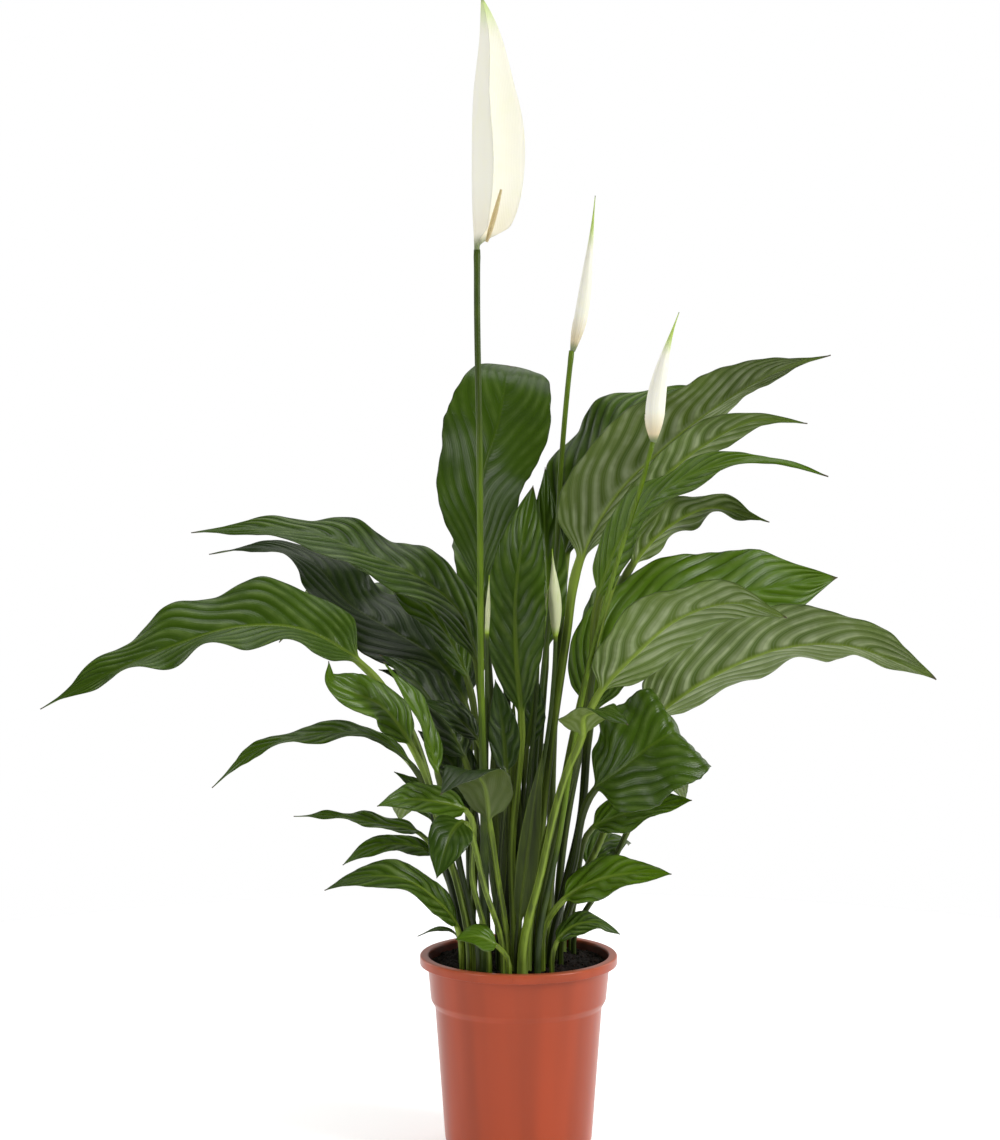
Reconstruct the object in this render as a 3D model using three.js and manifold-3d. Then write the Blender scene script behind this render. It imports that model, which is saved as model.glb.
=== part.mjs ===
// Peace lily in a plastic nursery pot. Millimetres, +Z up, front towards -Y.
// The origin is the centre of the pot's flat base.
import * as THREE from 'three';
import * as BufferGeometryUtils from 'three/addons/utils/BufferGeometryUtils.js';
import Module from 'manifold-3d';

const wasm = await Module();
wasm.setup();

// ---- Driving dimensions: pot
const POT_HEIGHT = 169;
const RIM_RADIUS = 85;
const RIM_DEPTH = 8;
const RIM_ROLL = 2;
const COLLAR_TOP_RADIUS = 79;
const COLLAR_FOOT_RADIUS = 75.5;
const COLLAR_FOOT_Z = 130;
const LEDGE_FOOT_Z = 124;
const BODY_TOP_RADIUS = 72;
const BODY_FOOT_RADIUS = 63.5;
const BODY_FOOT_Z = 8;
const FOOT_RADIUS = 60.5;
const POT_WALL = 1.5;
const POT_SIDES = 32;
const FLOOR_THICKNESS = 2;
const CHANNEL_HEIGHT = 4;
const CHANNEL_INNER_RADIUS = 34;
const CHANNEL_OUTER_RADIUS = 54;
const CHANNEL_SLOPE = 3;
const DRAIN_HOLES = 8;
const DRAIN_RADIUS = 5;
const DRAIN_SIDES = 10;

// ---- Driving dimensions: soil
const SOIL_TOP = 161;
const SOIL_MOUND = 4;
const SOIL_GAP = 0.3;
const SOIL_EDGE_GAP = 1.2;
const HOLE_CLEARANCE = 1.1;
const HOLE_SIDES = 6;
const SHOULDER_SHARE = 0.7;
const SHOULDER_RISE = 0.6;

// ---- Driving dimensions: leaves
const ROOT_DEPTH = 22;
const COLLAR_HEIGHT = 14;
const SHEATH_SHARE = 0.5;
const MIDRIB_TAPER = 0.5;
const SLIM_RIB = 0.5;
const RIB_THICKNESS = 2.2;
const FULL_RIB_HALF = 8;
const EDGE_THICKNESS = 0.8;
const TOP_SHARE = 0.35;
const NECK_SHARE = 0.09;
const WIDEST = 0.38;
const FULLNESS = 1.85;
const ARCH = 0.1;
const WAVE_POWER = 1.5;
const STEM_STARTS = 3;
const WALK_STEPS = 16;
const LOOK_AHEAD = 1.5;
const TIP_RADIUS = 0.9;
const WAVE_OFFSET = 2;
const LARGE_MESH = { columns: 5, stalkSteps: 5, bladeSteps: 11 };
const SMALL_MESH = { columns: 3, stalkSteps: 4, bladeSteps: 8 };

// ---- Driving dimensions: flowers and buds
const STALK_SIDES = 6;
const STALK_STEPS = 13;
const BUD_STEPS = 20;
const BUD_FULLEST = 0.35;
const SPIKE_SIDES = 8;
const SPADIX_STEPS = 8;
const SPADIX_END = 1.2;
const ROLLED_STEPS = 12;
const ROLLED_FOOT = 2;
const POINT_RADIUS = 0.8;
const POINT_TAPER = 2;
const SPATHE_COLUMNS = 5;
const SPATHE_STEPS = 14;
const TUBE_FACE = new THREE.Vector3(0.15, -1, 0);

// ---- Colours and roughness
const POT_COLOUR = 0xb5573f;
const SOIL_COLOUR = 0x241812;
const LEAF_COLOUR = 0x3d6b24;
const STALK_COLOUR = 0x5f8a2c;
const SPATHE_COLOUR = 0xf3f1e4;
const SPADIX_COLOUR = 0xd8c08a;
const BUD_COLOUR = 0xd9dfb0;
const POT_ROUGHNESS = 0.35;
const SOIL_ROUGHNESS = 0.95;
const LEAF_ROUGHNESS = 0.4;
const FLOWER_ROUGHNESS = 0.5;
const SPADIX_ROUGHNESS = 0.7;

// Each leaf is one row: where its stalk leaves the soil and the stalk's radius, the points that the
// stalk and then the midrib run through, the blade's width, the way its upper face looks at the neck
// and at the tip, the angle of its fold, the height and number of its edge waves, and for a few the
// share of its length at which it is widest, how slowly it fills out towards that, and how much a
// sheath thickens its stalk at the soil.
const LARGE_LEAVES = [
  {
    name: 'leaf_upper_right', foot: [14, -12], radius: 3.8, stalk: [[40, -13, 443]],
    rib: [[51, -22, 511], [83, -35, 571], [117, -52, 607], [160, -70, 643], [209, -95, 674],
      [252, -120, 689]],
    width: 94, face: [-0.45, 0.85, 0.25], tipFace: [-0.2, 0.7, 0.6], fold: 32, wave: 4, waves: 3, peak: 0.3,
  },
  {
    name: 'leaf_upper_right_behind', foot: [28, 50], radius: 3.6, stalk: [[36, 58, 450]],
    rib: [[41, 60, 505], [55, 68, 566], [82, 80, 616], [119, 98, 643], [164, 118, 652]],
    width: 82, face: [-0.6, -0.6, 0.55], tipFace: [-0.2, -0.4, 0.9], fold: 14, wave: 6, waves: 3,
  },
  {
    name: 'leaf_second_right', foot: [25, -10], radius: 3.2, stalk: [[62, -24, 430]],
    rib: [[88, -36, 520], [115, -68, 580], [151, -92, 614], [193, -112, 636], [233, -128, 634]],
    width: 44, face: [-0.3, 0.75, 0.55], tipFace: [-0.1, 0.75, 0.65], fold: 16, wave: 5, waves: 2,
  },
  {
    name: 'leaf_third_right', foot: [16, -26], radius: 3.4, stalk: [[60, -50, 410]],
    rib: [[66, -66, 482], [87, -96, 543], [122, -130, 583], [166, -152, 603], [206, -168, 606],
      [245, -182, 595]],
    width: 48, face: [-0.6, -0.7, 0.4], tipFace: [0, -0.35, 0.95], fold: 12, wave: 4, waves: 3, peak: 0.28,
  },
  {
    name: 'leaf_fourth_right', foot: [34, 56], radius: 3.4, stalk: [[74, 52, 420]],
    rib: [[98, 50, 500], [126, 48, 532], [162, 44, 551], [216, 32, 540]],
    width: 46, face: [-0.2, 0.7, 0.65], tipFace: [-0.1, 0.6, 0.75], fold: 16, wave: 5, waves: 3,
  },
  {
    name: 'leaf_middle_right', foot: [32, 4], radius: 3.6, stalk: [[54, 3, 290]],
    rib: [[62, 2, 375], [78, 10, 433], [126, 25, 466], [194, 40, 478], [278, 60, 489]],
    width: 88, face: [-0.35, -0.85, 0.4], tipFace: [0, -0.8, 0.6], fold: 10, wave: 4, waves: 4,
    peak: 0.52, fullness: 1,
  },
  {
    name: 'leaf_middle_right_front', foot: [8, -42], radius: 3, stalk: [[47, -62, 356]],
    rib: [[67, -76, 407], [96, -90, 441], [132, -105, 473], [176, -120, 487], [217, -140, 477]],
    width: 72, face: [-0.25, 0.85, 0.45], tipFace: [0, 0.7, 0.7], fold: 12, wave: 3, waves: 3,
    fullness: 1.6,
  },
  {
    name: 'leaf_lower_right', foot: [39, 38], radius: 3.2, stalk: [[72, 8, 270]],
    rib: [[110, -6, 370], [140, -15, 397], [177, -26, 421], [222, -40, 440], [277, -60, 444],
      [318, -72, 431], [346, -85, 419]],
    width: 94, face: [-0.35, 0.75, 0.55], tipFace: [0.1, 0.65, 0.7], fold: 24, wave: 4, waves: 4,
    peak: 0.34, fullness: 1.3,
  },
  {
    name: 'leaf_round_right', foot: [27, -27], radius: 3, stalk: [[46, -34, 250]],
    rib: [[64, -58, 322], [88, -68, 343], [109, -70, 360], [130, -62, 371], [137, -44, 364],
      [138, -18, 346]],
    width: 100, face: [-0.4, -0.75, 0.5], tipFace: [0.3, -0.7, 0.6], fold: 8, wave: 6, waves: 3,
    peak: 0.42, fullness: 1.2,
  },
  {
    name: 'leaf_upper_left', foot: [-30, 20], radius: 3, sheath: 1, stalk: [[-31, 18, 350]],
    rib: [[-36, 18, 418], [-50, 20, 462], [-81, 26, 489], [-124, 34, 509], [-172, 44, 527], [-229, 54, 532],
      [-285, 64, 528]],
    width: 74, face: [0.35, -0.5, 0.75], tipFace: [0, -0.3, 0.95], fold: 12, wave: 4, waves: 4,
  },
  {
    name: 'leaf_left_between', foot: [-16, 34], radius: 2.8, stalk: [[-34, 40, 315]],
    rib: [[-44, 46, 400], [-69, 52, 450], [-103, 60, 484], [-136, 66, 502], [-171, 72, 514]],
    width: 42, face: [0.4, -0.6, 0.7], tipFace: [0.1, -0.5, 0.85], fold: 12, wave: 4, waves: 3,
  },
  {
    name: 'leaf_left_behind', foot: [-42, 28], radius: 3, stalk: [[-44, 46, 304]],
    rib: [[-46, 64, 375], [-72, 80, 415], [-109, 94, 437], [-149, 108, 460], [-183, 122, 496],
      [-229, 135, 508], [-277, 148, 501]],
    width: 92, face: [0.3, -0.75, 0.5], tipFace: [0.1, -0.1, 1], fold: 12, wave: 5, waves: 4, peak: 0.28,
  },
  {
    name: 'leaf_far_left', foot: [-38, -42], radius: 3.2, sheath: 1,
    stalk: [[-64, -45, 277], [-98, -50, 384]],
    rib: [[-132, -52, 427], [-182, -56, 457], [-233, -62, 460], [-291, -70, 444], [-348, -80, 420],
      [-397, -90, 395]],
    width: 90, face: [0.1, -0.5, 0.85], tipFace: [0, -0.5, 0.85], fold: 24, wave: 8, waves: 4, peak: 0.3,
  },
  {
    name: 'leaf_top_centre', foot: [-12, 10], radius: 3.2, sheath: 1.2, stalk: [[-22, 8, 363]],
    rib: [[-30, 6, 475], [-33, 10, 530], [-31, 17, 580], [-17, 27, 626], [-10, 46, 664], [-6, 80, 672]],
    width: 94, face: [-0.4, -0.85, 0.2], tipFace: [0.1, -0.4, 0.9], fold: 10, wave: 5, waves: 3, peak: 0.62,
  },
  {
    name: 'leaf_centre', foot: [-3, -34], radius: 3, sheath: 1.4, stalk: [[-6, -30, 257]],
    rib: [[2, -30, 380], [-2, -32, 428], [-3, -32, 479], [3, -28, 530], [12, -15, 575]],
    width: 52, face: [-0.1, -0.95, 0.2], tipFace: [0.1, -0.95, 0.2], fold: 10, wave: 3, waves: 3, peak: 0.46,
  },
  {
    name: 'leaf_rear_centre', foot: [-2, 52], radius: 3, stalk: [[-8, 70, 340]],
    rib: [[-12, 90, 430], [-14, 130, 490], [-12, 185, 515], [-6, 240, 500], [2, 290, 455]],
    width: 92, face: [0, -0.8, 0.6], tipFace: [0, 0.5, 0.9], fold: 14, wave: 5, waves: 3,
  },
  {
    name: 'leaf_rear_left', foot: [-28, 50], radius: 3, stalk: [[-42, 84, 300]],
    rib: [[-62, 120, 385], [-95, 155, 440], [-140, 195, 465], [-185, 230, 448], [-222, 256, 408]],
    width: 90, face: [0.5, -0.6, 0.6], tipFace: [-0.3, 0.4, 0.9], fold: 14, wave: 5, waves: 3,
  },
  {
    name: 'leaf_rear_right', foot: [14, 62], radius: 3, stalk: [[44, 92, 320]],
    rib: [[66, 112, 400], [98, 145, 452], [142, 185, 475], [190, 222, 462], [232, 252, 425]],
    width: 90, face: [-0.5, -0.6, 0.6], tipFace: [0.3, 0.4, 0.9], fold: 14, wave: 5, waves: 3,
  },
];

const SMALL_LEAVES = [
  {
    name: 'leaf_small_right_high', foot: [36, -14], radius: 2.4, stalk: [[48, -18, 225]],
    rib: [[63, -18, 282], [90, -26, 295], [120, -36, 304], [146, -46, 311]],
    width: 44, face: [-0.1, -0.75, 0.65], tipFace: [0, -0.6, 0.8], fold: 20, wave: 3, waves: 2,
  },
  {
    name: 'leaf_small_right_behind', foot: [46, 46], radius: 2.2, stalk: [],
    rib: [[60, 42, 238], [71, 50, 254], [86, 66, 257], [100, 84, 250]],
    width: 36, face: [0, -0.6, 0.8], tipFace: [0, -0.5, 0.85], fold: 12, wave: 3, waves: 2,
  },
  {
    name: 'leaf_small_right', foot: [20, -40], radius: 2.6, stalk: [[22, -38, 200]],
    rib: [[38, -44, 225], [65, -52, 243], [98, -60, 251], [128, -68, 252]],
    width: 42, face: [0, -0.7, 0.7], tipFace: [0, -0.6, 0.8], fold: 12, wave: 3, waves: 2,
  },
  {
    name: 'leaf_small_right_low', foot: [28, -50], radius: 2, stalk: [],
    rib: [[32, -51, 190], [47, -50, 204], [65, -47, 206], [86, -42, 195]],
    width: 28, face: [0, -0.4, 0.9], tipFace: [0.2, -0.4, 0.9], fold: 10, wave: 2, waves: 2,
  },
  {
    name: 'leaf_small_left_curled', foot: [-42, -55], radius: 2.6, stalk: [[-60, -56, 269]],
    rib: [[-91, -60, 360], [-116, -68, 395], [-139, -82, 408], [-157, -92, 420], [-157, -100, 436]],
    width: 42, face: [0.4, -0.7, 0.6], tipFace: [0.4, -0.7, 0.4], fold: 14, wave: 3, waves: 2,
  },
  {
    name: 'leaf_small_left_folded', foot: [-34, -61], radius: 2.4, stalk: [[-51, -68, 263]],
    rib: [[-68, -76, 337], [-83, -84, 388], [-112, -94, 435]],
    width: 30, face: [0.8, -0.5, 0.3], tipFace: [0.7, -0.4, 0.6], fold: 22, wave: 2, waves: 2,
  },
  {
    name: 'leaf_small_far_left', foot: [-48, -32], radius: 2.6, stalk: [[-66, -28, 266]],
    rib: [[-89, -30, 336], [-121, -42, 364], [-176, -54, 367], [-221, -62, 355], [-257, -72, 326]],
    width: 32, face: [0.1, -0.3, 0.95], tipFace: [-0.1, -0.3, 0.95], fold: 14, wave: 3, waves: 3,
  },
  {
    name: 'leaf_small_left_point', foot: [-39, -26], radius: 2.2, stalk: [[-48, -14, 240]],
    rib: [[-67, -14, 300], [-85, -18, 316], [-106, -20, 331]],
    width: 22, face: [0, -0.5, 0.85], tipFace: [0, -0.5, 0.85], fold: 14, wave: 2, waves: 1,
  },
  {
    name: 'leaf_small_left_front', foot: [-25, -59], radius: 2.4, stalk: [[-39, -86, 251]],
    rib: [[-44, -104, 312], [-74, -120, 323], [-98, -134, 326], [-116, -144, 323]],
    width: 38, face: [0, -0.65, 0.75], tipFace: [0, -0.65, 0.75], fold: 12, wave: 2, waves: 2,
  },
  {
    name: 'leaf_small_left_thin', foot: [-49, -20], radius: 2, stalk: [[-60, -16, 234]],
    rib: [[-84, -18, 277], [-118, -28, 287], [-155, -40, 296], [-190, -50, 298]],
    width: 30, face: [0, -0.3, 0.95], tipFace: [0, -0.25, 0.95], fold: 14, wave: 2, waves: 3, peak: 0.28,
  },
  {
    name: 'leaf_small_left_middle', foot: [-50, -6], radius: 2, stalk: [[-56, -2, 215]],
    rib: [[-72, 2, 254], [-104, -8, 266], [-129, -16, 263], [-150, -28, 252]],
    width: 26, face: [0, -0.5, 0.85], tipFace: [0, -0.5, 0.85], fold: 12, wave: 2, waves: 2,
  },
  {
    name: 'leaf_small_down', foot: [-13, -62], radius: 2.4, stalk: [[-28, -104, 245]],
    rib: [[-47, -135, 308], [-56, -158, 302], [-67, -178, 270]],
    width: 36, face: [0.1, -0.75, 0.6], tipFace: [0.1, -0.9, 0.4], fold: 12, wave: 2, waves: 1,
  },
  {
    name: 'leaf_small_left_low', foot: [-48, -47], radius: 2.4, stalk: [],
    rib: [[-52, -59, 204], [-70, -76, 232], [-95, -88, 251], [-132, -100, 255], [-161, -112, 247]],
    width: 40, face: [0.1, -0.55, 0.8], tipFace: [0, -0.5, 0.85], fold: 12, wave: 3, waves: 2,
  },
  {
    name: 'leaf_rim_left', foot: [-50, 8], radius: 1.3, stalk: [],
    rib: [[-53, 6, 184], [-68, 0, 191], [-87, -8, 186]],
    width: 7, face: [0, -0.2, 1], tipFace: [0, -0.2, 1], fold: 10, wave: 1, waves: 1,
  },
  {
    name: 'leaf_rim_front', foot: [-8, -71], radius: 2, stalk: [],
    rib: [[-19, -82, 194], [-34, -90, 203], [-53, -100, 203]],
    width: 28, face: [0, -0.6, 0.8], tipFace: [0, -0.6, 0.8], fold: 10, wave: 2, waves: 1,
  },
  {
    name: 'leaf_hood_left', foot: [-9, -50], radius: 2.4, stalk: [[-19, -74, 257]],
    rib: [[-25, -88, 301], [-29, -105, 334], [-41, -130, 350], [-64, -170, 337]],
    width: 50, face: [0.1, 0.6, 0.75], tipFace: [0, -0.2, 1], fold: 8, wave: 3, waves: 2,
  },
  {
    name: 'leaf_hood_right', foot: [3, -57], radius: 3.2, sheath: 1.6,
    stalk: [[18, -76, 253], [40, -96, 345]],
    rib: [[52, -102, 375], [53, -122, 394], [67, -146, 401], [87, -170, 394]],
    width: 44, face: [-0.2, 0.6, 0.75], tipFace: [0, -0.2, 1], fold: 10, wave: 4, waves: 2,
  },
  {
    name: 'leaf_centre_behind', foot: [10, 24], radius: 2.6, stalk: [[18, 34, 333]],
    rib: [[24, 36, 429], [25, 38, 481], [23, 42, 532], [23, 50, 586]],
    width: 36, face: [0.1, -0.95, 0.2], tipFace: [0.1, -0.9, 0.4], fold: 12, wave: 3, waves: 2,
  },
  {
    name: 'leaf_inner_left_high', foot: [-40, -8], radius: 2.6, stalk: [[-38, -8, 270]],
    rib: [[-46, -10, 340], [-68, -14, 382], [-93, -18, 414], [-118, -24, 432]],
    width: 62, face: [0.5, -0.6, 0.6], tipFace: [0.3, -0.5, 0.8], fold: 12, wave: 4, waves: 2,
  },
  {
    name: 'leaf_inner_left_small', foot: [-26, -18], radius: 2.2, stalk: [[-30, -24, 281]],
    rib: [[-35, -32, 360], [-58, -40, 384], [-84, -48, 397]],
    width: 28, face: [0.1, -0.6, 0.8], tipFace: [0.1, -0.6, 0.8], fold: 12, wave: 2, waves: 1,
  },
  {
    name: 'leaf_inner_left_low', foot: [-28, 4], radius: 2.6, stalk: [[-32, 2, 230]],
    rib: [[-40, 1, 292], [-60, -1, 338], [-86, -4, 364]],
    width: 50, face: [0.4, -0.7, 0.6], tipFace: [0.3, -0.7, 0.6], fold: 12, wave: 3, waves: 2,
  },
  {
    name: 'leaf_inner_front', foot: [-17, -38], radius: 2, stalk: [[-16, -46, 259]],
    rib: [[-11, -52, 335], [-14, -54, 375], [-20, -56, 415]],
    width: 28, face: [0.3, -0.9, 0.2], tipFace: [0.3, -0.9, 0.2], fold: 14, wave: 1, waves: 1,
  },
  {
    name: 'leaf_inner_right', foot: [-3, -3], radius: 2, stalk: [[2, -10, 271]],
    rib: [[7, -12, 350], [12, -10, 385], [14, -8, 415]],
    width: 24, face: [0.3, -0.9, 0.2], tipFace: [0.3, -0.9, 0.2], fold: 14, wave: 1, waves: 1,
  },
  {
    name: 'leaf_inner_left_back', foot: [-30, 36], radius: 2.6, stalk: [[-36, 48, 255]],
    rib: [[-46, 57, 325], [-66, 58, 368], [-94, 60, 398], [-122, 62, 408]],
    width: 60, face: [0.5, -0.6, 0.6], tipFace: [0.2, -0.4, 0.9], fold: 12, wave: 4, waves: 2,
  },
  {
    name: 'leaf_rear_small_left', foot: [-46, 46], radius: 2.4, stalk: [[-62, 72, 225]],
    rib: [[-74, 98, 266], [-86, 124, 280], [-98, 150, 276], [-108, 174, 254]],
    width: 48, face: [0.5, -0.5, 0.7], tipFace: [-0.3, 0.4, 0.9], fold: 12, wave: 3, waves: 2,
  },
  {
    name: 'leaf_rear_small_centre', foot: [12, 40], radius: 2.4, stalk: [[14, 78, 240]],
    rib: [[14, 108, 295], [10, 140, 318], [2, 175, 318], [-8, 208, 292]],
    width: 50, face: [0, -0.7, 0.7], tipFace: [0, 0.5, 0.9], fold: 12, wave: 3, waves: 2,
  },
  {
    name: 'leaf_rear_small_right', foot: [48, 26], radius: 2.4, stalk: [[74, 34, 225]],
    rib: [[102, 52, 280], [118, 84, 304], [136, 120, 302], [152, 152, 275]],
    width: 48, face: [-0.5, -0.5, 0.7], tipFace: [0.3, 0.4, 0.9], fold: 12, wave: 3, waves: 2,
  },
  {
    name: 'leaf_sheath_left', foot: [-16, -17], radius: 2.6, stalk: [],
    rib: [[-17, -18, 205], [-18, -20, 270], [-20, -23, 335], [-22, -24, 372]],
    width: 18, face: [-0.2, -0.95, 0.1], tipFace: [-0.2, -0.95, 0.1], fold: 20, wave: 1, waves: 1,
  },
  {
    name: 'leaf_sheath_middle', foot: [-8, -8], radius: 2.6, stalk: [],
    rib: [[-8, -10, 205], [-8, -14, 280], [-6, -17, 350], [-4, -18, 396]],
    width: 22, face: [0.1, -0.95, 0.1], tipFace: [0.1, -0.95, 0.1], fold: 20, wave: 1, waves: 1,
  },
  {
    name: 'leaf_sheath_right', foot: [-2, -50], radius: 2.6, stalk: [],
    rib: [[0, -52, 205], [7, -56, 265], [14, -60, 320], [20, -64, 356]],
    width: 20, face: [0.25, -0.95, 0.1], tipFace: [0.25, -0.95, 0.1], fold: 20, wave: 1, waves: 1,
  },
];

// Each flower stalk is one row: its foot in the soil, the points that it runs through up to its top,
// and its radius there. It thickens towards the soil, where a leaf-like sheath wraps it.
const FLOWER_STALKS = [
  {
    name: 'flower_stalk_tall', foot: [-30, -48], radius: 2.6, sheath: 1.4,
    points: [[-29, -56, 253], [-32, -60, 432], [-33, -60, 608], [-35, -57, 732], [-35, -55, 772]],
  },
  {
    name: 'flower_stalk_middle', foot: [10, 4], radius: 2.2, sheath: 1.2,
    points: [[12, 8, 300], [24, 14, 439], [32, 16, 509], [36, 18, 586], [42, 20, 658], [45, 21, 686]],
  },
  {
    name: 'flower_stalk_right', foot: [16, -56], radius: 1.9, sheath: 0.8,
    points: [[34, -70, 285], [57, -82, 425], [80, -114, 520], [100, -133, 590], [107, -136, 618]],
  },
];

// The spathe, the white hooded leaf of a flower, open on the tall flower.
const OPEN_SPATHE = {
  rib: [[-35, -55, 773], [-37, -54, 800], [-38, -54, 850], [-37, -53, 900], [-32, -51, 950],
    [-31, -50, 980]],
  radius: 2.4, width: 104, face: [0.9, -0.35, 0], tipFace: [0.9, -0.35, 0], fold: 45, wave: 0, waves: 1,
  peak: 0.36, fullness: 1.4,
};

// The spadix of the tall flower: the knobbly spike inside its spathe.
const SPADIX = { points: [[-27, -58, 780], [-21, -60, 800], [-15, -62, 823]], radius: 2.3, fullest: 0.35 };

// Spathes that are still rolled shut, and young buds with their stalks: slim closed spindles.
const ROLLED_SPATHES = [
  { name: 'spathe_middle', points: [[46, 21, 687], [53, 22, 718], [59, 24, 760], [63, 25, 798],
    [65, 25, 819]], radius: 7, fullest: 0.24 },
  { name: 'spathe_right', points: [[108, -136, 619], [109, -136, 649], [116, -137, 686], [123, -138, 710],
    [128, -138, 724]], radius: 9.5, fullest: 0.24 },
];
const YOUNG_BUDS = [
  { name: 'bud_left', foot: [-18, -26], points: [[-27, -40, 300], [-27, -44, 400], [-27, -45, 452]],
    tip: [[-26, -46, 478], [-25, -46, 502]], radius: 1.8, swell: 2.3 },
  { name: 'bud_middle', foot: [0, -18], points: [[7, -20, 304], [15, -20, 399], [17, -20, 446]],
    tip: [[20, -20, 472], [26, -20, 491]], radius: 1.8, swell: 4.2 },
  { name: 'bud_right', foot: [5, -28], points: [[16, -27, 306], [28, -26, 393], [31, -24, 447]],
    tip: [[30, -24, 482], [28, -24, 522]], radius: 1.8, swell: 6 },
];

const toVector = (point) => new THREE.Vector3(...point);
const mix = THREE.MathUtils.lerp;

// The path of a stem: straight up out of the soil, then smoothly through its points.
function stemPoints(foot, points) {
  const heights = [SOIL_TOP - ROOT_DEPTH, SOIL_TOP + SOIL_MOUND, SOIL_TOP + COLLAR_HEIGHT];
  return [...heights.map((z) => new THREE.Vector3(...foot, z)), ...points.map(toVector)];
}

// Walks a smooth curve through the points and gives the length to each of many small steps.
function walkPath(points) {
  const curve = new THREE.CatmullRomCurve3(points, false, 'chordal');
  const count = (points.length - 1) * WALK_STEPS;
  const spots = [];
  const lengths = [0];
  for (let i = 0; i <= count; i += 1) {
    spots.push(curve.getPoint(i / count));
    if (i > 0) lengths.push(lengths[i - 1] + spots[i].distanceTo(spots[i - 1]));
  }
  return { spots, lengths };
}

function pointAtLength(path, length) {
  const last = path.lengths.length - 1;
  let i = 1;
  while (i < last && path.lengths[i] < length) i += 1;
  const step = path.lengths[i] - path.lengths[i - 1];
  const share = THREE.MathUtils.clamp((length - path.lengths[i - 1]) / step, 0, 1);
  return path.spots[i - 1].clone().lerp(path.spots[i], share);
}

// The place, direction, upper side and sideways direction at one length along a path.
function frameAt(path, length, face) {
  const total = path.lengths[path.lengths.length - 1];
  const before = pointAtLength(path, Math.max(0, length - LOOK_AHEAD));
  const after = pointAtLength(path, Math.min(total, length + LOOK_AHEAD));
  const along = after.sub(before).normalize();
  const up = face.clone().addScaledVector(along, -face.dot(along)).normalize();
  const side = new THREE.Vector3().crossVectors(along, up);
  return { centre: pointAtLength(path, length), along, up, side };
}

// The outline of a blade: half its width at the share s of the way from its neck to its tip.
function halfWidth(row, s) {
  const peak = row.peak ?? WIDEST;
  const fullness = row.fullness ?? FULLNESS;
  const rise = fullness * peak;
  const fall = fullness * (1 - peak);
  return (row.width / 2) * (s / peak) ** rise * ((1 - s) / (1 - peak)) ** fall;
}

// How far a blade's surface stands above its midrib, v running from edge to edge as -1 to 1.
function bladeHeight(row, half, s, v) {
  const wide = Math.abs(v);
  const fold = wide * half * Math.sin(THREE.MathUtils.degToRad(row.fold));
  const arch = ARCH * half * v * v;
  const phase = 2 * Math.PI * row.waves * s + (v > 0 ? 0 : WAVE_OFFSET);
  const wave = row.wave * wide ** WAVE_POWER * Math.sin(Math.PI * s) * Math.sin(phase);
  return fold - arch + wave;
}

// How much a sheath thickens a stem at a share of the way up it.
function sheathAt(row, share) {
  return (row.sheath ?? 0) * (1 - THREE.MathUtils.smoothstep(share, 0, SHEATH_SHARE));
}

// One ring of a leaf's loft. A stalk's ring is round; over the neck it flattens into the blade.
function leafRing(row, frame, s, columns, sheath = 0) {
  const flat = THREE.MathUtils.smoothstep(s, 0, NECK_SHARE);
  const stalk = (row.radius + sheath) * mix(1, MIDRIB_TAPER, s);
  const half = Math.max(s > 0 ? halfWidth(row, Math.min(s, 1)) : 0, TIP_RADIUS, stalk * (1 - flat));
  const slim = Math.min(1, half / FULL_RIB_HALF);
  const spread = Math.cos(THREE.MathUtils.degToRad(row.fold));
  const ring = [];
  for (let face = 0; face < 2; face += 1) {
    for (let column = 0; column < columns; column += 1) {
      const v = (face === 0 ? 1 : -1) * (2 * column / (columns - 1) - 1);
      const turn = Math.PI * (face + (column + 0.5) / columns);
      const rib = RIB_THICKNESS * mix(SLIM_RIB, 1, slim);
      const thick = mix(rib, EDGE_THICKNESS, Math.sqrt(Math.abs(v)));
      const level = bladeHeight(row, half, s, v) + thick * (face === 0 ? TOP_SHARE : TOP_SHARE - 1);
      const across = mix(-stalk * Math.cos(turn), v * half * spread, flat);
      const height = mix(stalk * Math.sin(turn), level, flat);
      ring.push(frame.centre.clone().addScaledVector(frame.side, across).addScaledVector(frame.up, height));
    }
  }
  return ring;
}

// Joins rings of equal count into one closed body with flat fans over its two ends.
function loftRings(rings) {
  const count = rings[0].length;
  const positions = [];
  const index = [];
  for (const point of rings.flat()) positions.push(point.x, point.y, point.z);
  for (let r = 0; r + 1 < rings.length; r += 1) {
    for (let i = 0; i < count; i += 1) {
      const a = r * count + i;
      const b = r * count + (i + 1) % count;
      const mirrored = i >= count / 2;
      if (mirrored) index.push(a, b, a + count, b, b + count, a + count);
      else index.push(a, b, b + count, a, b + count, a + count);
    }
  }
  const last = (rings.length - 1) * count;
  for (let i = 1; i < count - 1; i += 1) {
    index.push(0, i + 1, i);
    index.push(last, last + i, last + i + 1);
  }
  const geometry = new THREE.BufferGeometry();
  geometry.setAttribute('position', new THREE.Float32BufferAttribute(positions, 3));
  geometry.setIndex(index);
  return geometry;
}

function evenSteps(from, to, steps) {
  return Array.from({ length: steps + 1 }, (_, i) => mix(from, to, i / steps));
}

// The rings of a blade from its neck to its tip.
function bladeRings(row, path, neck, columns, steps) {
  const total = path.lengths[path.lengths.length - 1];
  const rings = [];
  for (let i = 0; i <= steps; i += 1) {
    const s = i / steps;
    const face = toVector(row.face).lerp(toVector(row.tipFace), s);
    rings.push(leafRing(row, frameAt(path, mix(neck, total, s), face), s, columns));
  }
  return rings;
}

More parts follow.
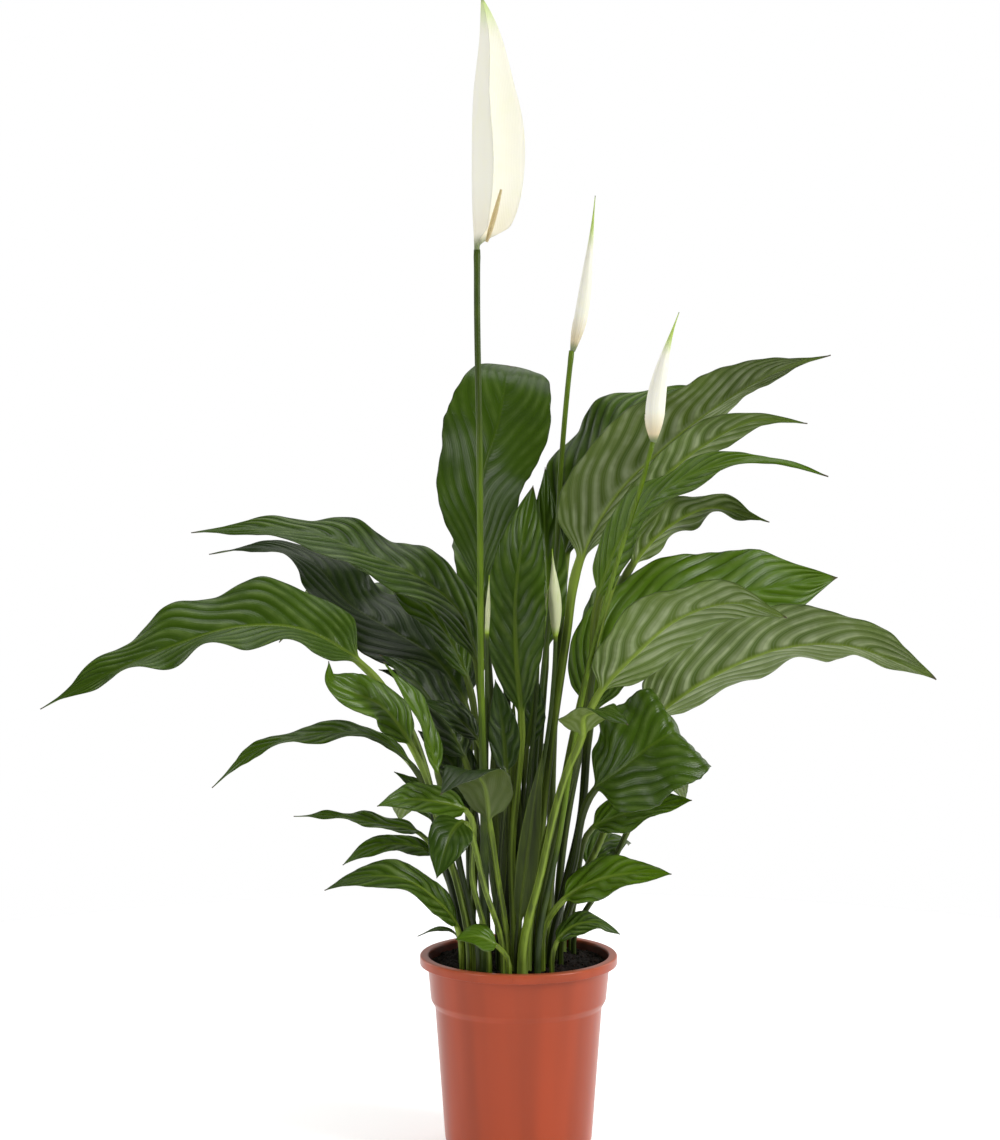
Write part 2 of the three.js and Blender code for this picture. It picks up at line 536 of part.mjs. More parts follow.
// A leaf in one body: its stalk from the root up, then its blade.
function leafGeometry(row, { columns, stalkSteps, bladeSteps }) {
  const path = walkPath(stemPoints(row.foot, [...row.stalk, ...row.rib]));
  const neck = path.lengths[(STEM_STARTS + row.stalk.length) * WALK_STEPS];
  const stalkLengths = [0, ...evenSteps(ROOT_DEPTH + COLLAR_HEIGHT, neck, stalkSteps).slice(0, -1)];
  const stalk = stalkLengths.map((length) => {
    const frame = frameAt(path, length, toVector(row.face));
    return leafRing(row, frame, 0, columns, sheathAt(row, length / neck));
  });
  return loftRings([...stalk, ...bladeRings(row, path, neck, columns, bladeSteps)]);
}

// A round tube along a path, its radius given for each share of the length. A stem's tube has a
// ring of its own where it leaves the soil, so that it stands straight in its hole.
function tubeGeometry(points, radiusAt, sides, steps, straight = 0) {
  const path = walkPath(points);
  const total = path.lengths[path.lengths.length - 1];
  const lengths = evenSteps(straight, total, steps);
  if (straight > 0) lengths.unshift(0);
  const rings = lengths.map((length) => {
    const { centre, up, side } = frameAt(path, length, TUBE_FACE);
    const reach = radiusAt(length / total);
    return Array.from({ length: sides }, (_, k) => {
      const turn = 2 * Math.PI * (k + 0.5) / sides;
      return centre.clone().addScaledVector(side, -reach * Math.cos(turn))
        .addScaledVector(up, reach * Math.sin(turn));
    });
  });
  return loftRings(rings);
}

// The radius of a spindle that is fullest at one share of its length, with a radius at each end. Its
// upper part draws in faster to a point the higher the taper is.
function spindleRadius(share, { fullest, radius, foot, point, taper }) {
  const low = share < fullest;
  const rise = low ? share / fullest : (1 - share) / (1 - fullest);
  return mix(low ? foot : point, radius, Math.sin(rise * Math.PI / 2) ** (low ? 1 : taper));
}

function flowerStalkGeometry(row) {
  const radiusAt = (share) => row.radius + sheathAt(row, share);
  const points = stemPoints(row.foot, row.points);
  return tubeGeometry(points, radiusAt, STALK_SIDES, STALK_STEPS, ROOT_DEPTH + COLLAR_HEIGHT);
}

function openSpatheGeometry() {
  const path = walkPath(OPEN_SPATHE.rib.map(toVector));
  return loftRings(bladeRings(OPEN_SPATHE, path, 0, SPATHE_COLUMNS, SPATHE_STEPS));
}

function spadixGeometry() {
  const spindle = { ...SPADIX, foot: SPADIX_END, point: SPADIX_END, taper: 1 };
  const radiusAt = (share) => spindleRadius(share, spindle);
  return tubeGeometry(SPADIX.points.map(toVector), radiusAt, SPIKE_SIDES, SPADIX_STEPS);
}

function rolledSpatheGeometry(row) {
  const spindle = { ...row, foot: ROLLED_FOOT, point: POINT_RADIUS, taper: POINT_TAPER };
  const radiusAt = (share) => spindleRadius(share, spindle);
  return tubeGeometry(row.points.map(toVector), radiusAt, SPIKE_SIDES, ROLLED_STEPS);
}

function youngBudGeometry(row) {
  const points = stemPoints(row.foot, [...row.points, ...row.tip]);
  const path = walkPath(points);
  const total = path.lengths[path.lengths.length - 1];
  const neck = path.lengths[(STEM_STARTS - 1 + row.points.length) * WALK_STEPS] / total;
  const bud = { fullest: BUD_FULLEST, radius: row.swell, foot: row.radius, point: POINT_RADIUS,
    taper: POINT_TAPER };
  const budRadius = (share) => spindleRadius((share - neck) / (1 - neck), bud);
  const radiusAt = (share) => (share < neck ? row.radius : budRadius(share));
  return tubeGeometry(points, radiusAt, STALK_SIDES, BUD_STEPS, ROOT_DEPTH + COLLAR_HEIGHT);
}

// ---- Pot and soil

// The floor's outline from its centre outwards: a flat pad, a raised drainage channel, a foot ring.
function floorOutline(lift) {
  return [
    [0, lift],
    [CHANNEL_INNER_RADIUS, lift],
    [CHANNEL_INNER_RADIUS + CHANNEL_SLOPE, CHANNEL_HEIGHT + lift],
    [CHANNEL_OUTER_RADIUS - CHANNEL_SLOPE, CHANNEL_HEIGHT + lift],
    [CHANNEL_OUTER_RADIUS, lift],
  ];
}

// The pot's inner wall from the floor up, drawn in by a gap where the soil follows it.
function innerWall(gap) {
  return [
    [FOOT_RADIUS - POT_WALL - gap, FLOOR_THICKNESS + gap],
    [BODY_FOOT_RADIUS - POT_WALL - gap, BODY_FOOT_Z + gap],
    [BODY_TOP_RADIUS - POT_WALL - gap, LEDGE_FOOT_Z + POT_WALL + gap],
    [COLLAR_FOOT_RADIUS - POT_WALL - gap, COLLAR_FOOT_Z + POT_WALL + gap],
  ];
}

function potOutline() {
  const skirt = RIM_RADIUS - POT_WALL;
  return [
    ...floorOutline(0),
    [FOOT_RADIUS, 0],
    [BODY_FOOT_RADIUS, BODY_FOOT_Z],
    [BODY_TOP_RADIUS, LEDGE_FOOT_Z],
    [COLLAR_FOOT_RADIUS, COLLAR_FOOT_Z],
    [COLLAR_TOP_RADIUS, POT_HEIGHT - RIM_ROLL],
    [skirt, POT_HEIGHT - RIM_ROLL],
    [skirt, POT_HEIGHT - RIM_DEPTH],
    [RIM_RADIUS, POT_HEIGHT - RIM_DEPTH],
    [RIM_RADIUS, POT_HEIGHT - RIM_ROLL],
    [RIM_RADIUS - RIM_ROLL / 2, POT_HEIGHT],
    [COLLAR_TOP_RADIUS - RIM_ROLL / 2, POT_HEIGHT],
    [COLLAR_TOP_RADIUS - POT_WALL, POT_HEIGHT - RIM_ROLL],
    ...innerWall(0).reverse(),
    ...floorOutline(FLOOR_THICKNESS).reverse(),
  ];
}

function turned(outline) {
  const points = outline.map(([radius, height]) => new THREE.Vector2(radius, height));
  return new THREE.LatheGeometry(points, POT_SIDES).rotateX(Math.PI / 2);
}

function toSolid(geometry) {
  const bare = geometry.clone();
  bare.deleteAttribute('normal');
  bare.deleteAttribute('uv');
  const merged = BufferGeometryUtils.mergeVertices(bare, 1e-4);
  return new wasm.Manifold(new wasm.Mesh({
    numProp: 3,
    vertProperties: Float32Array.from(merged.getAttribute('position').array),
    triVerts: Uint32Array.from(merged.index.array),
  }));
}

function toGeometry(solid) {
  const mesh = solid.getMesh();
  const geometry = new THREE.BufferGeometry();
  geometry.setAttribute('position', new THREE.BufferAttribute(mesh.vertProperties, 3));
  geometry.setIndex(new THREE.BufferAttribute(mesh.triVerts, 1));
  return geometry;
}

// An upright cylinder from one height to another.
function post(radius, from, to, x, y, sides) {
  const height = to - from;
  return new THREE.CylinderGeometry(radius, radius, height, sides)
    .rotateX(Math.PI / 2).translate(x, y, from + height / 2);
}

function potGeometry() {
  let pot = toSolid(turned(potOutline()));
  const middle = (CHANNEL_INNER_RADIUS + CHANNEL_OUTER_RADIUS) / 2;
  for (let i = 0; i < DRAIN_HOLES; i += 1) {
    const turn = 2 * Math.PI * (i + 0.5) / DRAIN_HOLES;
    const x = middle * Math.cos(turn);
    const y = middle * Math.sin(turn);
    pot = pot.subtract(toSolid(post(DRAIN_RADIUS, 0, 2 * CHANNEL_HEIGHT, x, y, DRAIN_SIDES)));
  }
  return toGeometry(pot);
}

function soilOutline() {
  const wall = innerWall(SOIL_GAP);
  const edge = COLLAR_TOP_RADIUS - POT_WALL - SOIL_EDGE_GAP;
  return [
    ...floorOutline(FLOOR_THICKNESS + SOIL_GAP),
    ...wall,
    [edge, SOIL_TOP],
    [edge * SHOULDER_SHARE, SOIL_TOP + SOIL_MOUND * SHOULDER_RISE],
    [0, SOIL_TOP + SOIL_MOUND],
  ];
}

function soilGeometry(stems) {
  let soil = toSolid(turned(soilOutline()));
  for (const stem of stems) {
    const radius = stem.radius + sheathAt(stem, 0) + HOLE_CLEARANCE;
    const [x, y] = stem.foot;
    const bottom = SOIL_TOP - ROOT_DEPTH - SOIL_GAP;
    soil = soil.subtract(toSolid(post(radius, bottom, POT_HEIGHT + SOIL_MOUND, x, y, HOLE_SIDES)));
  }
  return toGeometry(soil);
}

// ---- Materials and the scene

function paint(color, roughness) {
  return new THREE.MeshStandardMaterial({ color, roughness, metalness: 0 });
}

const plant = new THREE.Group();

function place(name, geometry, material) {
  const mesh = new THREE.Mesh(geometry, material);
  mesh.name = name;
  plant.add(mesh);
}

place('pot', potGeometry(), paint(POT_COLOUR, POT_ROUGHNESS));
place('soil', soilGeometry([...LARGE_LEAVES, ...SMALL_LEAVES, ...FLOWER_STALKS, ...YOUNG_BUDS]),
  paint(SOIL_COLOUR, SOIL_ROUGHNESS));
for (const row of LARGE_LEAVES) {
  place(row.name, leafGeometry(row, LARGE_MESH), paint(LEAF_COLOUR, LEAF_ROUGHNESS));
}
for (const row of SMALL_LEAVES) {
  place(row.name, leafGeometry(row, SMALL_MESH), paint(LEAF_COLOUR, LEAF_ROUGHNESS));
}
for (const row of FLOWER_STALKS) {
  place(row.name, flowerStalkGeometry(row), paint(STALK_COLOUR, LEAF_ROUGHNESS));
}
for (const row of ROLLED_SPATHES) {
  place(row.name, rolledSpatheGeometry(row), paint(SPATHE_COLOUR, FLOWER_ROUGHNESS));
}
for (const row of YOUNG_BUDS) {
  place(row.name, youngBudGeometry(row), paint(BUD_COLOUR, FLOWER_ROUGHNESS));
}
place('spathe_tall', openSpatheGeometry(), paint(SPATHE_COLOUR, FLOWER_ROUGHNESS));
place('spadix_tall', spadixGeometry(), paint(SPADIX_COLOUR, SPADIX_ROUGHNESS));

export default plant;
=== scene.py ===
"""The looks of a peace lily in a plastic nursery pot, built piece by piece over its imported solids."""
import math

import bmesh
import bpy
import numpy as np
from mathutils import Matrix, Vector, noise


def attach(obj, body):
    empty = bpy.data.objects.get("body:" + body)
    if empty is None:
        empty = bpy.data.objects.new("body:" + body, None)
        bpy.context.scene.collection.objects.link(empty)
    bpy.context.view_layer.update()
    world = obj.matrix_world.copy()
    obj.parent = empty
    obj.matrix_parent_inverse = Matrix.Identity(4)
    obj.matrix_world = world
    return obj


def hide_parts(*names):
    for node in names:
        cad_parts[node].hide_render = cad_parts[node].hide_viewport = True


bl_info = {
    "name": "Potted Peace Lily",
    "version": (1, 0, 0),
    "blender": (4, 5, 0),
    "location": "View3D > Sidebar > Peace Lily",
    "description": "Builds a peace lily with its flowers, soil and nursery pot, each as pieces of its own",
    "category": "Add Mesh",
}

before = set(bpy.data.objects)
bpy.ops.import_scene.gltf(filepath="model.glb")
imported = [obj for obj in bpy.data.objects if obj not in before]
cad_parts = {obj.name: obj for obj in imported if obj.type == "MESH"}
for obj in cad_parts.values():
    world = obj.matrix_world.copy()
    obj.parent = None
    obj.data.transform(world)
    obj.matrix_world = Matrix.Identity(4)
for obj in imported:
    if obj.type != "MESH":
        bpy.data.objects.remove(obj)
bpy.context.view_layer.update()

MM = 0.001
SOIL_TOP = 161
SOIL_MOUND = 4
ROOT_DEPTH = 22
COLLAR_HEIGHT = 14
STEM_HEIGHTS = (SOIL_TOP - ROOT_DEPTH, SOIL_TOP + SOIL_MOUND, SOIL_TOP + COLLAR_HEIGHT)
NECK_SHARE = 0.09
WIDEST = 0.38
FULLNESS = 1.85
SHARPEST = 0.001
POINT_POWER = 0.6
ARCH = 0.1
WAVE_POWER = 1.5
WAVE_OFFSET = 2
LARGE_WIDTH = 70
VEIN_SWEEP = 1.9
CRINKLE = 1.3
GROOVE_DEPTH = 0.55
SHEATH_SHARE = 0.5
JOINT_REACH = 1.6
TUBE_FACE = (0.15, -1, 0)

# How fine the meshes are: points across a blade, and millimetres between the rings of a leaf.
LARGE_COLUMNS = 61
SMALL_COLUMNS = 31
SPATHE_COLUMNS = 27
RING_GAP = 1.7
STALK_RING_GAP = 8
END_CROWDING = 0.055
EDGE_CROWDING = 1.12

# Each leaf is one row, in millimetres: where its stalk leaves the soil and the stalk's radius, the
# points that the stalk and then the midrib run through, the blade's width, the way its upper face
# looks at the neck and at the tip, its fold in degrees, the height and number of its edge waves, and
# for a few the share of its length at which it is widest, how slowly it fills out towards that, the
# share over which its tip is drawn to a point, and how much a sheath thickens its stalk at the soil.
LARGE_LEAVES = [
    dict(name="leaf_upper_right", foot=(14, -12), radius=3.8, stalk=[(40, -13, 443)],
         rib=[(51, -22, 511), (83, -35, 571), (117, -52, 607), (160, -70, 643), (209, -95, 674),
         (252, -120, 689)], width=94, face=(-0.45, 0.85, 0.25), tip_face=(-0.2, 0.7, 0.6), fold=32,
         wave=4, waves=3, peak=0.3),
    dict(name="leaf_upper_right_behind", foot=(28, 50), radius=3.6, stalk=[(36, 58, 450)],
         rib=[(41, 60, 505), (55, 68, 566), (82, 80, 616), (119, 98, 643), (164, 118, 652)], width=82,
         face=(-0.6, -0.6, 0.55), tip_face=(-0.2, -0.4, 0.9), fold=14, wave=6, waves=3),
    dict(name="leaf_second_right", foot=(25, -10), radius=3.2, stalk=[(62, -24, 430)],
         rib=[(88, -36, 520), (115, -68, 580), (151, -92, 614), (193, -112, 636), (233, -128, 634)],
         width=44, face=(-0.3, 0.75, 0.55), tip_face=(-0.1, 0.75, 0.65), fold=16, wave=5, waves=2),
    dict(name="leaf_third_right", foot=(16, -26), radius=3.4, stalk=[(60, -50, 410)],
         rib=[(66, -66, 482), (87, -96, 543), (122, -130, 583), (166, -152, 603), (206, -168, 606),
         (245, -182, 595)], width=48, face=(-0.6, -0.7, 0.4), tip_face=(0, -0.35, 0.95), fold=12,
         wave=4, waves=3, peak=0.28),
    dict(name="leaf_fourth_right", foot=(34, 56), radius=3.4, stalk=[(74, 52, 420)], rib=[(98, 50, 500),
         (126, 48, 532), (162, 44, 551), (216, 32, 540)], width=46, face=(-0.2, 0.7, 0.65),
         tip_face=(-0.1, 0.6, 0.75), fold=16, wave=5, waves=3),
    dict(name="leaf_middle_right", foot=(32, 4), radius=3.6, stalk=[(54, 3, 290)], rib=[(62, 2, 375),
         (78, 10, 433), (126, 25, 466), (194, 40, 478), (278, 60, 489)], width=88,
         face=(-0.35, -0.85, 0.4), tip_face=(0, -0.8, 0.6), fold=10, wave=4, waves=4, peak=0.52,
         fullness=1, point=0.22),
    dict(name="leaf_middle_right_front", foot=(8, -42), radius=3, stalk=[(47, -62, 356)],
         rib=[(67, -76, 407), (96, -90, 441), (132, -105, 473), (176, -120, 487), (217, -140, 477)],
         width=72, face=(-0.25, 0.85, 0.45), tip_face=(0, 0.7, 0.7), fold=12, wave=3, waves=3,
         fullness=1.6),
    dict(name="leaf_lower_right", foot=(39, 38), radius=3.2, stalk=[(72, 8, 270)], rib=[(110, -6, 370),
         (140, -15, 397), (177, -26, 421), (222, -40, 440), (277, -60, 444), (318, -72, 431),
         (346, -85, 419)], width=94, face=(-0.35, 0.75, 0.55), tip_face=(0.1, 0.65, 0.7), fold=24,
         wave=4, waves=4, peak=0.34, fullness=1.3),
    dict(name="leaf_round_right", foot=(27, -27), radius=3, stalk=[(46, -34, 250)], rib=[(64, -58, 322),
         (88, -68, 343), (109, -70, 360), (130, -62, 371), (137, -44, 364), (138, -18, 346)], width=100,
         face=(-0.4, -0.75, 0.5), tip_face=(0.3, -0.7, 0.6), fold=8, wave=6, waves=3, peak=0.42,
         fullness=1.2),
    dict(name="leaf_upper_left", foot=(-30, 20), radius=3, sheath=1, stalk=[(-31, 18, 350)],
         rib=[(-36, 18, 418), (-50, 20, 462), (-81, 26, 489), (-124, 34, 509), (-172, 44, 527),
         (-229, 54, 532), (-285, 64, 528)], width=74, face=(0.35, -0.5, 0.75), tip_face=(0, -0.3, 0.95),
         fold=12, wave=4, waves=4),
    dict(name="leaf_left_between", foot=(-16, 34), radius=2.8, stalk=[(-34, 40, 315)],
         rib=[(-44, 46, 400), (-69, 52, 450), (-103, 60, 484), (-136, 66, 502), (-171, 72, 514)],
         width=42, face=(0.4, -0.6, 0.7), tip_face=(0.1, -0.5, 0.85), fold=12, wave=4, waves=3),
    dict(name="leaf_left_behind", foot=(-42, 28), radius=3, stalk=[(-44, 46, 304)], rib=[(-46, 64, 375),
         (-72, 80, 415), (-109, 94, 437), (-149, 108, 460), (-183, 122, 496), (-229, 135, 508),
         (-277, 148, 501)], width=92, face=(0.3, -0.75, 0.5), tip_face=(0.1, -0.1, 1), fold=12, wave=5,
         waves=4, peak=0.28),
    dict(name="leaf_far_left", foot=(-38, -42), radius=3.2, sheath=1, stalk=[(-64, -45, 277),
         (-98, -50, 384)], rib=[(-132, -52, 427), (-182, -56, 457), (-233, -62, 460), (-291, -70, 444),
         (-348, -80, 420), (-397, -90, 395)], width=90, face=(0.1, -0.5, 0.85),
         tip_face=(0, -0.5, 0.85), fold=24, wave=8, waves=4, peak=0.3),
    dict(name="leaf_top_centre", foot=(-12, 10), radius=3.2, sheath=1.2, stalk=[(-22, 8, 363)],
         rib=[(-30, 6, 475), (-33, 10, 530), (-31, 17, 580), (-17, 27, 626), (-10, 46, 664),
         (-6, 80, 672)], width=94, face=(-0.4, -0.85, 0.2), tip_face=(0.1, -0.4, 0.9), fold=10, wave=5,
         waves=3, peak=0.62),
    dict(name="leaf_centre", foot=(-3, -34), radius=3, sheath=1.4, stalk=[(-6, -30, 257)],
         rib=[(2, -30, 380), (-2, -32, 428), (-3, -32, 479), (3, -28, 530), (12, -15, 575)], width=52,
         face=(-0.1, -0.95, 0.2), tip_face=(0.1, -0.95, 0.2), fold=10, wave=3, waves=3, peak=0.46),
    dict(name="leaf_rear_centre", foot=(-2, 52), radius=3, stalk=[(-8, 70, 340)], rib=[(-12, 90, 430),
         (-14, 130, 490), (-12, 185, 515), (-6, 240, 500), (2, 290, 455)], width=92,
         face=(0, -0.8, 0.6), tip_face=(0, 0.5, 0.9), fold=14, wave=5, waves=3),
    dict(name="leaf_rear_left", foot=(-28, 50), radius=3, stalk=[(-42, 84, 300)], rib=[(-62, 120, 385),
         (-95, 155, 440), (-140, 195, 465), (-185, 230, 448), (-222, 256, 408)], width=90,
         face=(0.5, -0.6, 0.6), tip_face=(-0.3, 0.4, 0.9), fold=14, wave=5, waves=3),
    dict(name="leaf_rear_right", foot=(14, 62), radius=3, stalk=[(44, 92, 320)], rib=[(66, 112, 400),
         (98, 145, 452), (142, 185, 475), (190, 222, 462), (232, 252, 425)], width=90,
         face=(-0.5, -0.6, 0.6), tip_face=(0.3, 0.4, 0.9), fold=14, wave=5, waves=3),
]

SMALL_LEAVES = [
    dict(name="leaf_small_right_high", foot=(36, -14), radius=2.4, stalk=[(48, -18, 225)],
         rib=[(63, -18, 282), (90, -26, 295), (120, -36, 304), (146, -46, 311)], width=44,
         face=(-0.1, -0.75, 0.65), tip_face=(0, -0.6, 0.8), fold=20, wave=3, waves=2),
    dict(name="leaf_small_right_behind", foot=(46, 46), radius=2.2, stalk=[], rib=[(60, 42, 238),
         (71, 50, 254), (86, 66, 257), (100, 84, 250)], width=36, face=(0, -0.6, 0.8),
         tip_face=(0, -0.5, 0.85), fold=12, wave=3, waves=2),
    dict(name="leaf_small_right", foot=(20, -40), radius=2.6, stalk=[(22, -38, 200)],
         rib=[(38, -44, 225), (65, -52, 243), (98, -60, 251), (128, -68, 252)], width=42,
         face=(0, -0.7, 0.7), tip_face=(0, -0.6, 0.8), fold=12, wave=3, waves=2),
    dict(name="leaf_small_right_low", foot=(28, -50), radius=2, stalk=[], rib=[(32, -51, 190),
         (47, -50, 204), (65, -47, 206), (86, -42, 195)], width=28, face=(0, -0.4, 0.9),
         tip_face=(0.2, -0.4, 0.9), fold=10, wave=2, waves=2),
    dict(name="leaf_small_left_curled", foot=(-42, -55), radius=2.6, stalk=[(-60, -56, 269)],
         rib=[(-91, -60, 360), (-116, -68, 395), (-139, -82, 408), (-157, -92, 420), (-157, -100, 436)],
         width=42, face=(0.4, -0.7, 0.6), tip_face=(0.4, -0.7, 0.4), fold=14, wave=3, waves=2),
    dict(name="leaf_small_left_folded", foot=(-34, -61), radius=2.4, stalk=[(-51, -68, 263)],
         rib=[(-68, -76, 337), (-83, -84, 388), (-112, -94, 435)], width=30, face=(0.8, -0.5, 0.3),
         tip_face=(0.7, -0.4, 0.6), fold=22, wave=2, waves=2),
    dict(name="leaf_small_far_left", foot=(-48, -32), radius=2.6, stalk=[(-66, -28, 266)],
         rib=[(-89, -30, 336), (-121, -42, 364), (-176, -54, 367), (-221, -62, 355), (-257, -72, 326)],
         width=32, face=(0.1, -0.3, 0.95), tip_face=(-0.1, -0.3, 0.95), fold=14, wave=3, waves=3),
    dict(name="leaf_small_left_point", foot=(-39, -26), radius=2.2, stalk=[(-48, -14, 240)],
         rib=[(-67, -14, 300), (-85, -18, 316), (-106, -20, 331)], width=22, face=(0, -0.5, 0.85),
         tip_face=(0, -0.5, 0.85), fold=14, wave=2, waves=1),
    dict(name="leaf_small_left_front", foot=(-25, -59), radius=2.4, stalk=[(-39, -86, 251)],
         rib=[(-44, -104, 312), (-74, -120, 323), (-98, -134, 326), (-116, -144, 323)], width=38,
         face=(0, -0.65, 0.75), tip_face=(0, -0.65, 0.75), fold=12, wave=2, waves=2),
    dict(name="leaf_small_left_thin", foot=(-49, -20), radius=2, stalk=[(-60, -16, 234)],
         rib=[(-84, -18, 277), (-118, -28, 287), (-155, -40, 296), (-190, -50, 298)], width=30,
         face=(0, -0.3, 0.95), tip_face=(0, -0.25, 0.95), fold=14, wave=2, waves=3, peak=0.28),
    dict(name="leaf_small_left_middle", foot=(-50, -6), radius=2, stalk=[(-56, -2, 215)],
         rib=[(-72, 2, 254), (-104, -8, 266), (-129, -16, 263), (-150, -28, 252)], width=26,
         face=(0, -0.5, 0.85), tip_face=(0, -0.5, 0.85), fold=12, wave=2, waves=2),
    dict(name="leaf_small_down", foot=(-13, -62), radius=2.4, stalk=[(-28, -104, 245)],
         rib=[(-47, -135, 308), (-56, -158, 302), (-67, -178, 270)], width=36, face=(0.1, -0.75, 0.6),
         tip_face=(0.1, -0.9, 0.4), fold=12, wave=2, waves=1),
    dict(name="leaf_small_left_low", foot=(-48, -47), radius=2.4, stalk=[], rib=[(-52, -59, 204),
         (-70, -76, 232), (-95, -88, 251), (-132, -100, 255), (-161, -112, 247)], width=40,
         face=(0.1, -0.55, 0.8), tip_face=(0, -0.5, 0.85), fold=12, wave=3, waves=2),
    dict(name="leaf_rim_left", foot=(-50, 8), radius=1.3, stalk=[], rib=[(-53, 6, 184), (-68, 0, 191),
         (-87, -8, 186)], width=7, face=(0, -0.2, 1), tip_face=(0, -0.2, 1), fold=10, wave=1, waves=1),
    dict(name="leaf_rim_front", foot=(-8, -71), radius=2, stalk=[], rib=[(-19, -82, 194),
         (-34, -90, 203), (-53, -100, 203)], width=28, face=(0, -0.6, 0.8), tip_face=(0, -0.6, 0.8),
         fold=10, wave=2, waves=1),
    dict(name="leaf_hood_left", foot=(-9, -50), radius=2.4, stalk=[(-19, -74, 257)],
         rib=[(-25, -88, 301), (-29, -105, 334), (-41, -130, 350), (-64, -170, 337)], width=50,
         face=(0.1, 0.6, 0.75), tip_face=(0, -0.2, 1), fold=8, wave=3, waves=2),
    dict(name="leaf_hood_right", foot=(3, -57), radius=3.2, sheath=1.6, stalk=[(18, -76, 253),
         (40, -96, 345)], rib=[(52, -102, 375), (53, -122, 394), (67, -146, 401), (87, -170, 394)],
         width=44, face=(-0.2, 0.6, 0.75), tip_face=(0, -0.2, 1), fold=10, wave=4, waves=2),
    dict(name="leaf_centre_behind", foot=(10, 24), radius=2.6, stalk=[(18, 34, 333)],
         rib=[(24, 36, 429), (25, 38, 481), (23, 42, 532), (23, 50, 586)], width=36,
         face=(0.1, -0.95, 0.2), tip_face=(0.1, -0.9, 0.4), fold=12, wave=3, waves=2),
    dict(name="leaf_inner_left_high", foot=(-40, -8), radius=2.6, stalk=[(-38, -8, 270)],
         rib=[(-46, -10, 340), (-68, -14, 382), (-93, -18, 414), (-118, -24, 432)], width=62,
         face=(0.5, -0.6, 0.6), tip_face=(0.3, -0.5, 0.8), fold=12, wave=4, waves=2),
    dict(name="leaf_inner_left_small", foot=(-26, -18), radius=2.2, stalk=[(-30, -24, 281)],
         rib=[(-35, -32, 360), (-58, -40, 384), (-84, -48, 397)], width=28, face=(0.1, -0.6, 0.8),
         tip_face=(0.1, -0.6, 0.8), fold=12, wave=2, waves=1),
    dict(name="leaf_inner_left_low", foot=(-28, 4), radius=2.6, stalk=[(-32, 2, 230)],
         rib=[(-40, 1, 292), (-60, -1, 338), (-86, -4, 364)], width=50, face=(0.4, -0.7, 0.6),
         tip_face=(0.3, -0.7, 0.6), fold=12, wave=3, waves=2),
    dict(name="leaf_inner_front", foot=(-17, -38), radius=2, stalk=[(-16, -46, 259)],
         rib=[(-11, -52, 335), (-14, -54, 375), (-20, -56, 415)], width=28, face=(0.3, -0.9, 0.2),
         tip_face=(0.3, -0.9, 0.2), fold=14, wave=1, waves=1),
    dict(name="leaf_inner_right", foot=(-3, -3), radius=2, stalk=[(2, -10, 271)], rib=[(7, -12, 350),
         (12, -10, 385), (14, -8, 415)], width=24, face=(0.3, -0.9, 0.2), tip_face=(0.3, -0.9, 0.2),
         fold=14, wave=1, waves=1),
    dict(name="leaf_inner_left_back", foot=(-30, 36), radius=2.6, stalk=[(-36, 48, 255)],
         rib=[(-46, 57, 325), (-66, 58, 368), (-94, 60, 398), (-122, 62, 408)], width=60,
         face=(0.5, -0.6, 0.6), tip_face=(0.2, -0.4, 0.9), fold=12, wave=4, waves=2),
    dict(name="leaf_rear_small_left", foot=(-46, 46), radius=2.4, stalk=[(-62, 72, 225)],
         rib=[(-74, 98, 266), (-86, 124, 280), (-98, 150, 276), (-108, 174, 254)], width=48,
         face=(0.5, -0.5, 0.7), tip_face=(-0.3, 0.4, 0.9), fold=12, wave=3, waves=2),
    dict(name="leaf_rear_small_centre", foot=(12, 40), radius=2.4, stalk=[(14, 78, 240)],
         rib=[(14, 108, 295), (10, 140, 318), (2, 175, 318), (-8, 208, 292)], width=50,
         face=(0, -0.7, 0.7), tip_face=(0, 0.5, 0.9), fold=12, wave=3, waves=2),
    dict(name="leaf_rear_small_right", foot=(48, 26), radius=2.4, stalk=[(74, 34, 225)],
         rib=[(102, 52, 280), (118, 84, 304), (136, 120, 302), (152, 152, 275)], width=48,
         face=(-0.5, -0.5, 0.7), tip_face=(0.3, 0.4, 0.9), fold=12, wave=3, waves=2),
    dict(name="leaf_sheath_left", foot=(-16, -17), radius=2.6, stalk=[], rib=[(-17, -18, 205),
         (-18, -20, 270), (-20, -23, 335), (-22, -24, 372)], width=18, face=(-0.2, -0.95, 0.1),
         tip_face=(-0.2, -0.95, 0.1), fold=20, wave=1, waves=1),
    dict(name="leaf_sheath_middle", foot=(-8, -8), radius=2.6, stalk=[], rib=[(-8, -10, 205),
         (-8, -14, 280), (-6, -17, 350), (-4, -18, 396)], width=22, face=(0.1, -0.95, 0.1),
         tip_face=(0.1, -0.95, 0.1), fold=20, wave=1, waves=1),
    dict(name="leaf_sheath_right", foot=(-2, -50), radius=2.6, stalk=[], rib=[(0, -52, 205),
         (7, -56, 265), (14, -60, 320), (20, -64, 356)], width=20, face=(0.25, -0.95, 0.1),
         tip_face=(0.25, -0.95, 0.1), fold=20, wave=1, waves=1),
]

